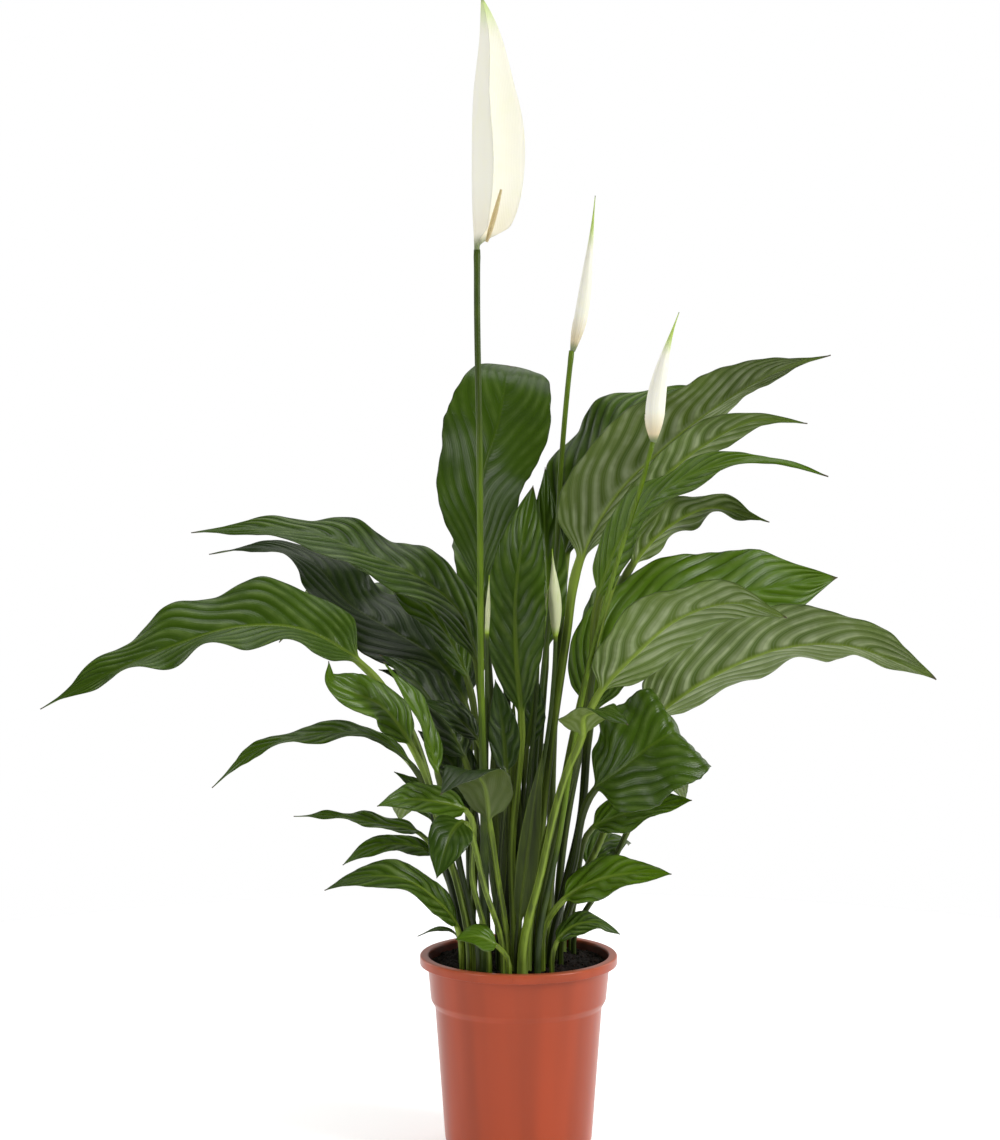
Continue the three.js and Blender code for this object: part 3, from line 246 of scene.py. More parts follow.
# Each flower stalk, rolled spathe and young bud is one row too. A flower stalk's row gives the shares of
# its length between which it is brightest, a painted light where it stands in the light, and a rolled
# spathe's fullest the share at which it is widest.
FLOWER_STALKS = [
    dict(name="flower_stalk_tall", foot=(-30, -48), radius=2.6, sheath=1.4, points=[(-29, -56, 253),
         (-32, -60, 432), (-33, -60, 608), (-35, -57, 732), (-35, -55, 772)], bright=(0.35, 0.72)),
    dict(name="flower_stalk_middle", foot=(10, 4), radius=2.2, sheath=1.2, points=[(12, 8, 300),
         (24, 14, 439), (32, 16, 509), (36, 18, 586), (42, 20, 658), (45, 21, 686)], bright=(0.75, 1.1)),
    dict(name="flower_stalk_right", foot=(16, -56), radius=1.9, sheath=0.8, points=[(34, -70, 285),
         (57, -82, 425), (80, -114, 520), (100, -133, 590), (107, -136, 618)], bright=(0.3, 1.1)),
]

ROLLED_SPATHES = [
    dict(name="spathe_middle", points=[(46, 21, 687), (53, 22, 718), (59, 24, 760), (63, 25, 798),
         (65, 25, 819)], radius=7, fullest=0.24),
    dict(name="spathe_right", points=[(108, -136, 619), (109, -136, 649), (116, -137, 686),
         (123, -138, 710), (128, -138, 724)], radius=9.5, fullest=0.24),
]

YOUNG_BUDS = [
    dict(name="bud_left", foot=(-18, -26), points=[(-27, -40, 300), (-27, -44, 400), (-27, -45, 452)],
         tip=[(-26, -46, 478), (-25, -46, 502)], radius=1.8, swell=2.3),
    dict(name="bud_middle", foot=(0, -18), points=[(7, -20, 304), (15, -20, 399), (17, -20, 446)],
         tip=[(20, -20, 472), (26, -20, 491)], radius=1.8, swell=4.2),
    dict(name="bud_right", foot=(5, -28), points=[(16, -27, 306), (28, -26, 393), (31, -24, 447)],
         tip=[(30, -24, 482), (28, -24, 522)], radius=1.8, swell=6),
]

OPEN_SPATHE = dict(
    name="spathe_tall", radius=2.4, width=104, face=(0.9, -0.35, 0), tip_face=(0.9, -0.35, 0), fold=45,
    wave=0, waves=1, peak=0.36, fullness=1.4,
    rib=[(-35, -55, 773), (-37, -54, 800), (-38, -54, 850), (-37, -53, 900), (-32, -51, 950),
         (-31, -50, 980)])
SPADIX = dict(name="spadix_tall", radius=2.3, points=[(-27, -58, 780), (-21, -60, 800), (-15, -62, 823)])

# How young a leaf is, from 0, old, to 1, new and yellow-green; a leaf in more light is set younger and
# lighter too, as painted light. Below 0 it is darker still, a painted shade for leaves deep in the clump.
# The others lie near 0.3.
LEAF_YOUTH_AND_LIGHT = {
    "leaf_upper_right_behind": 0.3, "leaf_upper_right": 0.3, "leaf_second_right": 0.8,
    "leaf_third_right": 0.8, "leaf_fourth_right": 0.4, "leaf_middle_right": 0.75,
    "leaf_middle_right_front": 0.6, "leaf_lower_right": 0.45, "leaf_round_right": 0.2,
    "leaf_left_behind": -0.55, "leaf_upper_left": 0.15, "leaf_left_between": 0.5, "leaf_far_left": 0.2,
    "leaf_top_centre": 0.2, "leaf_centre": 0.25, "leaf_inner_left_low": -0.4,
    "leaf_inner_left_small": -0.4, "leaf_inner_front": -0.5, "leaf_inner_right": -0.4,
    "leaf_small_right": 0.8, "leaf_small_right_high": 0.75, "leaf_small_right_low": 0.1,
    "leaf_small_left_curled": 0.6, "leaf_small_left_folded": 0.65,
    "leaf_small_down": -0.05, "leaf_small_left_low": 0.2, "leaf_small_right_behind": 0.1,
    "leaf_rim_front": 0.6, "leaf_hood_left": -0.5, "leaf_hood_right": 0.1, "leaf_inner_left_high": -0.3,
    "leaf_inner_left_back": -0.5, "leaf_small_left_front": 0.45,
}

# How strongly a leaf's side veins show, from 0, a rolled sheath that has none, to 1, as on the others.
LEAF_VEINING = {
    "leaf_sheath_left": 0, "leaf_sheath_middle": 0, "leaf_sheath_right": 0, "leaf_hood_left": 0.25,
    "leaf_hood_right": 0.35, "leaf_top_centre": 0.35, "leaf_centre": 0.8, "leaf_left_behind": 0.6,
    "leaf_far_left": 0.75, "leaf_round_right": 0.55, "leaf_small_down": 0.35, "leaf_rim_front": 0.4,
}

# How pale a leaf's stalk is, from 0 to 1, where it stands at the front of the clump in more light.
LIT_STALKS = {
    "leaf_hood_right": 0.95, "leaf_hood_left": 0.8, "leaf_far_left": 0.7, "leaf_small_left_low": 0.8,
    "leaf_small_left_curled": 0.7, "leaf_rim_front": 0.7, "leaf_small_down": 0.7, "leaf_upper_right": 0.8,
    "leaf_small_right": 0.9, "leaf_small_right_low": 0.7, "leaf_middle_right_front": 0.8,
    "leaf_lower_right": 0.5, "leaf_second_right": 0.6, "leaf_small_left_front": 0.6, "leaf_centre": 0.85,
}


def srgb(screen):
    """A colour given as 0 to 255 screen values, as the linear values that shaders take."""
    return tuple(((c / 255 + 0.055) / 1.055) ** 2.4 if c > 10 else c / 255 / 12.92 for c in screen)


def shade(colour, share):
    """A colour darkened to a share of its light."""
    return tuple(c * share for c in colour)


def colour_property(name, description, screen):
    return bpy.props.FloatVectorProperty(
        name=name, description=description, subtype="COLOR", size=3, min=0, max=1, default=srgb(screen))


def length_property(name, description, default, least, most):
    """A length, its three values given in millimetres."""
    return bpy.props.FloatProperty(
        name=name, description=description, subtype="DISTANCE", unit="LENGTH",
        default=default * MM, min=least * MM, max=most * MM)


def gloss_property(description, default):
    return bpy.props.FloatProperty(
        name="Gloss", description=description, subtype="FACTOR", default=default, min=0, max=1)


def light_property(name, description, default, most):
    return bpy.props.FloatProperty(
        name=name, description=description, default=default, min=0, max=most)


class PEACELILY_PG_leaves(bpy.types.PropertyGroup):
    """Sizes and colours of the leaves."""
    top: colour_property("Upper side", "Upper side of a grown leaf", (40, 64, 6))
    young_top: colour_property("Young upper side", "Upper side of a new leaf", (90, 126, 6))
    # Painted sheen: a light colour for the tops of the swellings between side veins.
    painted_sheen: colour_property("Swell", "Top of the swellings between side veins", (124, 146, 78))
    under: colour_property("Underside", "Underside of a leaf", (94, 112, 40))
    # Paler raised veins below, widened into broad bands of painted sheen.
    under_vein_and_sheen: colour_property("Vein below", "Raised side vein of an underside", (164, 176, 134))
    # Painted shade for the hollows between the raised veins below.
    under_hollow_shade: colour_property("Hollow below", "Hollow between veins of an underside", (64, 88, 22))
    midrib: colour_property("Midrib", "Midrib and the top of the leaf stalk", (136, 160, 58))
    # Partly painted shade: the leaf stalk's green is set darker, as in the shade deep in the clump.
    stalk: colour_property("Leaf stalk", "Leaf stalk", (25, 37, 4))
    # Painted light: the paler stalk of a leaf at the front of the clump, where it stands in more light.
    lit_stalk: colour_property("Pale leaf stalk", "Leaf stalk at the front of the clump", (112, 136, 30))
    stalk_foot: colour_property("Stalk foot", "Leaf stalk where it leaves the soil", (118, 140, 56))
    dry: colour_property("Dry tip", "Dried tip of an old leaf", (74, 66, 40))
    thickness: length_property("Blade thickness", "Thickness of a blade at its edge", 0.55, 0.2, 1.5)
    quilting: length_property(
        "Quilting", "How far the blade swells between its side veins", 1.9, 0, 3)
    vein_gap: length_property(
        "Vein spacing", "Distance between side veins along the midrib of a large leaf", 23, 4, 40)
    gloss: gloss_property("Gloss of the upper side", 0.78)


class PEACELILY_PG_flowers(bpy.types.PropertyGroup):
    """Colours of the flowers and their stalks."""
    spathe: colour_property("Spathe", "White hooded leaf of a flower", (249, 247, 231))
    spathe_tip: colour_property("Spathe tip", "Green tip of a spathe", (172, 204, 40))
    spathe_base: colour_property("Spathe foot", "Warmer foot of a closed spathe", (206, 184, 128))
    spadix: colour_property("Spadix", "Knobbly spike inside the spathe", (228, 206, 158))
    stalk: colour_property("Flower stalk", "Flower stalk", (60, 80, 12))
    # Painted light: a flower stalk's colour along the stretch that stands in the light.
    lit_flower_stalk: colour_property("Bright stalk", "Flower stalk where it is brightest", (98, 126, 14))
    # Painted shade: the darker colour of a flower stalk low in the clump, under the leaves.
    stalk_foot: colour_property("Stalk foot", "Flower stalk low in the clump", (38, 56, 10))
    bud: colour_property("Young bud", "Young closed bud", (222, 228, 176))


class PEACELILY_PG_pot(bpy.types.PropertyGroup):
    """Sizes and colours of the pot and the soil."""
    plastic: colour_property("Plastic", "Moulded plastic of the pot", (164, 60, 20))
    scuffed: colour_property("Scuffed plastic", "Plastic where it is rubbed pale", (214, 122, 90))
    gloss: gloss_property("Gloss of the plastic", 0.84)
    corner: length_property("Corner rounding", "Radius of the pot's moulded corners", 1.2, 0.2, 3)
    soil: colour_property("Soil", "Damp potting mix", (26, 15, 10))
    soil_dry: colour_property("Dry crumbs", "Drier crumbs of the potting mix", (58, 42, 32))
    crumb: length_property("Crumb size", "Size of the largest crumbs of soil", 2.6, 0.5, 6)


class PEACELILY_PG_stage(bpy.types.PropertyGroup):
    """The floor and the light."""
    floor: colour_property("Floor", "Plain pale floor", (246, 246, 246))
    room: light_property("Room light", "Strength of the even light from the front", 0.12, 5)
    backdrop: light_property(
        "Backdrop light", "Strength of the light from the pale backdrop behind", 0.5, 5)
    key: light_property(
        "Key light", "Power of the tall soft light at the front right, in watts", 62, 500)
    fill: light_property("Fill light", "Power of the soft light at the front left, in watts", 26, 500)
    top: light_property("Top light", "Power of the soft light above, in watts", 17, 500)
    rim: light_property(
        "Rim lights", "Power of each of the two soft lights behind, in watts", 8, 500)


# ---- Paths and lofts. Lengths are in millimetres until a mesh is made.


def smoothstep(value, low, high):
    share = np.clip((value - low) / (high - low), 0, 1)
    return share * share * (3 - 2 * share)


def mix(first, second, share):
    return first + (second - first) * share


def unit(vectors):
    return vectors / np.linalg.norm(vectors, axis=-1, keepdims=True)


class Path:
    """A smooth line through points, with the length along it to each of many small steps."""

    STEPS = 24
    LOOK_AHEAD = 2

    def __init__(self, points):
        spots = np.array(points, float)
        spots = np.vstack([2 * spots[0] - spots[1], spots, 2 * spots[-1] - spots[-2]])
        gaps = np.linalg.norm(np.diff(spots, axis=0), axis=1)
        share = np.linspace(0, 1, self.STEPS, endpoint=False)[:, None]
        line = []
        for i in range(1, len(spots) - 2):
            a, b, c, d = spots[i - 1:i + 3]
            before, here, after = gaps[i - 1:i + 2]
            leave = ((b - a) / before - (c - a) / (before + here)) * here + c - b
            reach = ((d - c) / after - (d - b) / (here + after)) * here + c - b
            line.append(b + leave * share + (3 * (c - b) - 2 * leave - reach) * share ** 2
                        + (2 * (b - c) + leave + reach) * share ** 3)
        self.spots = np.vstack([*line, spots[-2]])
        steps = np.linalg.norm(np.diff(self.spots, axis=0), axis=1)
        self.lengths = np.concatenate([[0], np.cumsum(steps)])
        self.total = self.lengths[-1]

    def length_at(self, point):
        """The length to one of the points that the path was made from."""
        return self.lengths[point * self.STEPS]

    def at(self, lengths):
        return np.stack([np.interp(lengths, self.lengths, self.spots[:, k]) for k in range(3)], -1)

    def frames(self, lengths, face):
        """Place, upper side and sideways direction at each length. face is the way that the upper side
        looks, one direction for all of them or one for each."""
        ahead = self.at(np.minimum(lengths + self.LOOK_AHEAD, self.total))
        along = unit(ahead - self.at(np.maximum(lengths - self.LOOK_AHEAD, 0)))
        face = np.broadcast_to(np.asarray(face, float), along.shape)
        up = unit(face - along * (face * along).sum(-1, keepdims=True))
        return self.at(lengths), up, np.cross(along, up)


def stem_points(row, points):
    """The path of a stem: straight up out of the soil, then through its points."""
    return [(*row["foot"], z) for z in STEM_HEIGHTS] + points


def ring_turns(sides):
    """The angle of each point round a tube."""
    return 2 * np.pi * (np.arange(sides) + 0.5) / sides


def ring_points(frames, right, rise):
    """The points of a loft, from how far each lies to the side and above its ring's centre."""
    centre, up, side = frames
    return centre[:, None] + side[:, None] * right[..., None] + up[:, None] * rise[..., None]


def loft_faces(rings, count):
    """Quads between rings of equal count, and one flat face over each end."""
    starts = np.arange(rings - 1)[:, None] * count
    here = np.arange(count)
    there = (here + 1) % count
    quads = np.stack([starts + here, starts + there, starts + there + count, starts + here + count], -1)
    last = (rings - 1) * count
    return quads.reshape(-1, 4).tolist() + [list(range(count))[::-1], list(range(last, last + count))]


def add_object(name, data):
    made = bpy.data.objects.new(name, data)
    bpy.context.scene.collection.objects.link(made)
    return made


def make_piece(name, points, faces, numbers):
    """A mesh object from points in millimetres, with numbers kept for its finish to read."""
    mesh = bpy.data.meshes.new(name)
    mesh.from_pydata((np.asarray(points).reshape(-1, 3) * MM).tolist(), [], faces)
    for key, values in numbers.items():
        layer = mesh.attributes.new(key, "FLOAT", "POINT")
        layer.data.foreach_set("value", np.asarray(values, np.float32).ravel())
    mesh.update()
    mesh.shade_smooth()
    return add_object(name, mesh)


# Where a UV map's end faces lie, and how large they are there.
CAP_PLACE = 0.005
CAP_SIZE = 0.004


def add_ring_map(piece, rings, count, name):
    """A UV map that unrolls a loft: round it in U, along it in V, its end faces shrunk into a corner."""
    mesh = piece.data
    layer = mesh.uv_layers.new(name=name)
    ring = np.repeat(np.arange(rings - 1), count)
    column = np.tile(np.arange(count), rings - 1)
    u = np.stack([column, column + 1, column + 1, column], -1) / count
    v = np.stack([ring, ring, ring + 1, ring + 1], -1) / (rings - 1)
    turn = 2 * np.pi * np.arange(count) / count
    caps = np.tile(np.stack([np.cos(turn), np.sin(turn)], -1) * CAP_SIZE + CAP_PLACE, (2, 1))
    layer.data.foreach_set("uv", np.concatenate([np.stack([u, v], -1).reshape(-1, 2), caps]).ravel())


def make_loft(row, points, numbers, map_name):
    """A row's piece, through rings of points. Each of its numbers has one value, or one for each ring or
    point."""
    rings, count = points.shape[:2]
    spread = np.ones((rings, count))
    numbers = {key: value * spread for key, value in numbers.items()}
    piece = make_piece("fine_" + row["name"], points, loft_faces(rings, count), numbers)
    add_ring_map(piece, rings, count, map_name)
    return piece


def settle(piece, node, finish):
    """Gives a piece its finish, and puts it in the place of a node of the part."""
    piece.data.materials.append(finish)
    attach(piece, "root")
    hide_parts(node)


# ---- Finishes


class Number:
    """A number in a shader. An expression on it adds the Math nodes that work it out."""

    def __init__(self, finish, socket):
        self.finish = finish
        self.socket = socket

    def maths(self, operation, *values):
        node = self.finish.node("ShaderNodeMath", {"operation": operation}, dict(enumerate(values)))
        return Number(self.finish, node.outputs[0])

    def __add__(self, other):
        return self.maths("ADD", self, other)

    def __sub__(self, other):
        return self.maths("SUBTRACT", self, other)

    def __rsub__(self, other):
        return self.maths("SUBTRACT", other, self)

    def __mul__(self, other):
        return self.maths("MULTIPLY", self, other)

    def __truediv__(self, other):
        return self.maths("DIVIDE", self, other)

    def __abs__(self):
        return self.maths("ABSOLUTE", self)

    __radd__ = __add__

    def ridge(self):
        """1 where this number is whole, falling to 0 half way between."""
        return abs(self.maths("FRACT", self) - 0.5) * 2

    def smooth(self, low, high):
        """0 below low, 1 above high and smooth between; low may be above high."""
        node = self.finish.node(
            "ShaderNodeMapRange", {"interpolation_type": "SMOOTHSTEP"},
            {"Value": self, "From Min": low, "From Max": high})
        return Number(self.finish, node.outputs["Result"])


def put(tree, socket, value):
    """Links a socket of a node tree to another, or sets its value."""
    if isinstance(value, Number):
        value = value.socket
    if isinstance(value, bpy.types.NodeSocket):
        tree.links.new(value, socket)
    elif socket.type == "RGBA" and len(value) == 3:
        socket.default_value = (*value, 1)
    else:
        socket.default_value = value


def add_node(tree, kind, settings, values):
    """Adds a node: first its settings, then the values and links of its sockets."""
    node = tree.nodes.new(kind)
    for key, setting in settings.items():
        setattr(node, key, setting)
    for key, value in values.items():
        put(tree, node.inputs[key], value)
    return node


class Finish:
    """A material under construction, with its one principled shader."""

    def __init__(self, name, **fixed):
        self.material = bpy.data.materials.new(name)
        self.material.use_nodes = True
        self.tree = self.material.node_tree
        self.tree.nodes.clear()
        self.surface = self.node("ShaderNodeBsdfPrincipled", {}, {})
        self.node("ShaderNodeOutputMaterial", {"location": (300, 0)}, {"Surface": self.surface.outputs[0]})
        self.drive(**fixed)

    def node(self, kind, settings, values):
        return add_node(self.tree, kind, settings, values)

    def drive(self, **sockets):
        """Gives sockets of the shader their values or links, by their names with _ for each space."""
        for socket, value in sockets.items():
            put(self.tree, self.surface.inputs[socket.replace("_", " ")], value)

    def number(self, key):
        """A number that the mesh holds at each of its points."""
        node = self.node("ShaderNodeAttribute", {"attribute_name": key}, {})
        return Number(self, node.outputs["Fac"])

    def place(self, stretch=(1, 1, 1)):
        """The place on the object, stretched for patterns that run one way."""
        where = self.node("ShaderNodeTexCoord", {}, {}).outputs["Object"]
        node = self.node("ShaderNodeVectorMath", {"operation": "MULTIPLY"}, {0: where, 1: stretch})
        return node.outputs[0]

    def noise(self, scale, detail, stretch=(1, 1, 1)):
        node = self.node("ShaderNodeTexNoise", {},
                         {"Vector": self.place(stretch), "Scale": scale, "Detail": detail})
        return Number(self, node.outputs[0])

    def cells(self, scale):
        node = self.node("ShaderNodeTexVoronoi", {}, {"Vector": self.place(), "Scale": scale})
        return Number(self, node.outputs["Distance"])

    def blend(self, share, first, second):
        """The colour that is first where share is 0 and second where it is 1."""
        node = self.node("ShaderNodeMix", {"data_type": "RGBA"}, {0: share, 6: first, 7: second})
        return node.outputs[2]

    def bump(self, height, distance, strength):
        node = self.node(
            "ShaderNodeBump", {}, {"Height": height, "Distance": distance, "Strength": strength})
        self.drive(Normal=node.outputs[0])


def leaf_finish(look):
    """Glossy green above and paler below, with side veins, a light midrib, a green stalk, painted shade and
    sheen.
    """
    f = Finish("leaf_green", Specular_IOR_Level=0.28)
    along, offset, half = f.number("along"), f.number("offset"), f.number("half")
    under, youth, vein = f.number("under"), f.number("youth"), f.number("vein")
    pale, veining = f.number("pale"), f.number("veining")
    blade = along.smooth(0.004, 0.05)
    away = abs(offset)
    edge = (half - away).smooth(1.6, 0.2) * blade
    patchy, uneven, speckle = f.noise(28, 3), f.noise(16, 2).smooth(0.3, 0.7), f.noise(900, 2)
    streaky = f.noise(60, 2).smooth(0.35, 0.7)
    furrow = vein.ridge()
    reach = away.smooth(0.5, 4) * half.smooth(3, 14) * veining
    line = furrow.smooth(0.6, 1) * reach
    band = furrow.smooth(0.15, 0.8) * reach
    swell = (1 - furrow).smooth(0.3, 0.95) * reach
    fine = (vein * 6).ridge().smooth(0.5, 1) * half.smooth(8, 24)
    rib = (away / (3.2 - along * 2.2)).smooth(1, 0.35) * along.smooth(1.05, 0.2)
    # Young leaves are yellow-green; a leaf in more light is set younger, as painted light.
    top = f.blend(youth * 0.8 + patchy * 0.4 - 0.1, look.top, look.young_top)
    # Painted shade in the furrows of the side veins.
    top = f.blend(line * (0.2 + uneven * 0.25), top, shade(look.top, 0.3))
    # Painted sheen, in streaks, on the tops of the swellings between side veins.
    top = f.blend(swell * (0.1 + streaky * 0.45), top, look.painted_sheen)
    top = f.blend(fine * 0.1, top, look.stalk)
    # The midrib shows more on leaves whose stalks stand in more light, partly painted light.
    top = f.blend(rib * (0.2 + pale * 0.4) * (0.3 + veining * 0.7), top, look.midrib)
    below = f.blend(youth * 0.4 + patchy * 0.3 - 0.1, look.under, look.young_top)
    near = (away / half).smooth(1, 0.15)
    # Painted shade in the hollows between the raised veins below.
    below = f.blend(swell * (0.2 + uneven * 0.4), below, look.under_hollow_shade)
    # The raised veins below are paler, and widened into broad bands of painted sheen, strongest near the
    # midrib.
    below = f.blend(band * (0.05 + streaky * 0.4 + near * 0.35), below, look.under_vein_and_sheen)
    below = f.blend(fine * 0.12, below, look.under_vein_and_sheen)
    below = f.blend(rib * 0.85, below, look.midrib)
    colour = f.blend(under, top, below)
    colour = f.blend(edge * 0.35, colour, shade(look.top, 0.5))
    # Painted shade: a leaf set below 0 is darkened, as deep in the clump.
    colour = f.blend(youth.smooth(0, -1) * 0.85, colour, shade(look.top, 0.3))
    dry = (along + patchy * 0.03).smooth(0.985, 1.012)
    colour = f.blend(dry, colour, look.dry)
    stripes = f.noise(420, 2, (1, 1, 0.06))
    bands = f.noise(130, 2, (1, 1, 0.05))
    # Painted light: stalks at the front of the clump, in more light, are paler, with paler edges, neck and
    # foot.
    stalk = f.blend(pale, look.stalk, look.lit_stalk)
    stalk = f.blend(bands.smooth(0.4, 0.62) * 0.6, stalk, look.stalk)
    stalk = f.blend(stripes.smooth(0.35, 0.75) * 0.4, stalk, shade(look.stalk, 0.6))
    across = away / half
    ridges = across.smooth(0.22, 0.1) + across.smooth(0.84, 0.96)
    stalk = f.blend(ridges * pale * 0.6, stalk, look.midrib)
    stalk = f.blend(along.smooth(-0.2, -0.02) * (0.15 + pale * 0.7) * veining, stalk, look.midrib)
    stalk = f.blend(along.smooth(-0.8, -1) * pale, stalk, look.stalk_foot)
    colour = f.blend(blade, stalk, colour)
    rough = mix(0.62, 0.2, look.gloss) + under * 0.12 + (speckle - 0.5) * 0.1 + (1 - blade) * 0.12
    f.drive(Base_Color=colour, Roughness=rough)
    veins = line * (under * 2 - 1) * blade + fine * 0.2 * blade
    f.bump(veins + speckle * 0.14 + stripes * 0.25 * (1 - blade), 0.35 * MM, 0.8)
    return f.material


def stem_finish(look):
    """Flower stalk: satin green with fine ribs, painted shade low in the clump, painted light along a lit
    stretch.
    """
    f = Finish("flower_stalk_green", Specular_IOR_Level=0.35)
    along = f.number("along")
    stripes = f.noise(520, 2, (1, 1, 0.05))
    patchy = f.noise(40, 2)
    # Painted shade: the stalk is darker low in the clump.
    stalk = f.blend(along.smooth(0.15, 0.6), look.stalk_foot, look.stalk)
    # Painted light along the stretch of the stalk that stands in the light.
    stalk = f.blend(f.number("bright"), stalk, look.lit_flower_stalk)
    stalk = f.blend(stripes.smooth(0.4, 0.75) * 0.45, stalk, shade(look.stalk, 0.62))
    stalk = f.blend(patchy.smooth(0.45, 0.8) * 0.08, stalk, look.spathe_tip)
    f.drive(Base_Color=stalk, Roughness=0.4 + patchy * 0.12)
    f.bump(stripes + patchy * 0.2, 0.25 * MM, 0.7)
    return f.material


def spathe_finish(look, name, tip_start, foot_share):
    """Ivory flower leaf with faint lengthwise veins, green towards its tip, with a painted shade on its
    inner face and a faint warm painted glow. foot_share warms its foot.
    """
    # Painted light: the emission gives the spathes a faint warm glow, though they are no lamp.
    f = Finish(name, Subsurface_Weight=0.3, Subsurface_Radius=(0.006, 0.006, 0.004), Specular_IOR_Level=0.3,
               Emission_Color=(1, 0.97, 0.88, 1), Emission_Strength=0.12)
    along, offset, under = f.number("along"), f.number("offset"), f.number("under")
    seam = f.number("seam")
    veins = (offset * 0.42 + f.noise(12, 1) * 0.5).ridge()
    patchy = f.noise(46, 3)
    grain = f.noise(1400, 2)
    green = (along + (patchy - 0.5) * 0.06).smooth(tip_start, tip_start + 0.22)
    # Painted shade: the inner face is a darker copy of the outer one.
    side = f.blend(under, shade(look.spathe, 0.9), look.spathe)
    colour = f.blend(veins.smooth(0.6, 1) * 0.2, side, shade(look.spathe, 0.78))
    colour = f.blend(patchy.smooth(0.5, 0.8) * 0.14, colour, look.bud)
    colour = f.blend((1 - along).smooth(0.72, 1) * foot_share, colour, look.spathe_base)
    colour = f.blend(seam * 0.3, colour, look.spathe_base)
    colour = f.blend(green, colour, look.spathe_tip)
    colour = f.blend(along.smooth(0.975, 1) * 0.7, colour, look.stalk_foot)
    joint = [mix(stalk, tip, 0.15) for stalk, tip in zip(look.stalk, look.spathe_tip)]
    colour = f.blend((along + (patchy - 0.5) * 0.03).smooth(0.07, 0.012), colour, joint)
    f.drive(Base_Color=colour, Roughness=0.5 + grain * 0.12 + under * 0.05)
    f.bump(veins * 0.8 + grain * 0.2, 0.22 * MM, 0.6)
    return f.material


def spadix_finish(look):
    """Tan spike of tiny florets, darker in the joints between them."""
    f = Finish("spadix_tan", Specular_IOR_Level=0.25)
    knob, speckle = f.number("knob"), f.noise(700, 2)
    colour = f.blend(knob.smooth(0.1, 0.8), shade(look.spadix, 0.5), look.spadix)
    colour = f.blend(speckle.smooth(0.5, 0.7) * 0.5, colour, look.bud)
    f.drive(Base_Color=colour, Roughness=0.75 + speckle * 0.15)
    f.bump(speckle, 0.2 * MM, 0.6)
    return f.material


def bud_finish(look):
    """Young closed flower: green stalk below, pale bud above with a green point."""
    f = Finish("bud_pale", Subsurface_Weight=0.15, Subsurface_Radius=(0.003, 0.003, 0.0015))
    along, seam = f.number("along"), f.number("seam")
    stripes = f.noise(600, 2, (1, 1, 0.06))
    patchy = f.noise(60, 3)
    bud = f.blend(patchy * 0.3, look.bud, look.spathe)
    bud = f.blend(stripes.smooth(0.4, 0.75) * 0.25, bud, look.spathe_tip)
    bud = f.blend(seam * 0.4, bud, look.spathe_tip)
    bud = f.blend((along + (patchy - 0.5) * 0.1).smooth(0.78, 1), bud, look.spathe_tip)
    bud = f.blend(along.smooth(0.14, 0), bud, look.spathe_tip)
    stalk = f.blend(stripes.smooth(0.4, 0.75) * 0.5, look.stalk, look.stalk_foot)
    colour = f.blend(along.smooth(-0.02, 0.03), stalk, bud)
    f.drive(Base_Color=colour, Roughness=0.42 + patchy * 0.14)
    f.bump(stripes, 0.2 * MM, 0.6)
    return f.material


def plastic_finish(look):
    """Moulded plastic: smooth and satin, with soft vertical flow marks, a paler rubbed rim and painted
    shade inside: the inner wall below the lip darkened to the soil's colour."""
    f = Finish("pot_plastic", Specular_IOR_Level=0.34)
    rim, inside = f.number("rim"), f.number("inside")
    flow = f.noise(30, 2, (1, 1, 0.03)).smooth(0.36, 0.62)
    cloud = f.noise(7, 1)
    grain = f.noise(1800, 2)
    colour = f.blend(flow * 0.6, look.plastic, shade(look.plastic, 0.66))
    colour = f.blend(0.05, colour, look.scuffed)
    colour = f.blend(rim * (0.25 + cloud * 0.3), colour, look.scuffed)
    # Painted shade: the inner wall below the lip takes the dark colour of the soil.
    colour = f.blend(inside * (0.8 + cloud * 0.3), colour, look.soil)
    f.drive(Base_Color=colour, Roughness=mix(0.73, 0.19, look.gloss) + inside * 0.3)
    f.bump(grain, 0.02 * MM, 0.4)
    return f.material


def soil_finish(look):
    """Damp dark potting mix with drier, paler crumbs and fibres."""
    f = Finish("potting_mix", Specular_IOR_Level=0.3)
    crumb = f.number("crumb")
    coarse, fine, wet = f.noise(160, 4), f.noise(1100, 3), f.noise(30, 2)
    grains = f.cells(420)
    colour = f.blend(coarse.smooth(0.35, 0.7) * 0.5, shade(look.soil, 0.5), look.soil)
    colour = f.blend(fine.smooth(0.55, 0.75) * 0.35, colour, look.soil_dry)
    colour = f.blend(crumb * 0.75, colour, look.soil_dry)
    f.drive(Base_Color=colour, Roughness=0.96 - wet.smooth(0.5, 0.8) * 0.25)
    f.bump(coarse + fine * 0.4 + grains * 0.6, 1.2 * MM, 0.9)
    return f.material


# ---- Leaves


def half_width(row, s):
    """Half a blade's width at the share s of the way from its neck to its tip."""
    peak, fullness = row.get("peak", WIDEST), row.get("fullness", FULLNESS)
    s = np.clip(s, 0, 1)
    pointed = np.minimum(1, (1 - s) / row.get("point", SHARPEST)) ** POINT_POWER
    full = (s / peak) ** (fullness * peak) * ((1 - s) / (1 - peak)) ** (fullness * (1 - peak))
    return row["width"] / 2 * full * pointed


def blade_height(row, half, s, v):
    """How far the blade stands above its midrib; v runs from edge to edge as -1 to 1."""
    wide = np.abs(v)
    phase = 2 * np.pi * row["waves"] * s + np.where(v > 0, 0, WAVE_OFFSET)
    wave = row["wave"] * wide ** WAVE_POWER * np.sin(np.pi * np.clip(s, 0, 1)) * np.sin(phase)
    return wide * half * math.sin(math.radians(row["fold"])) - ARCH * half * v * v + wave


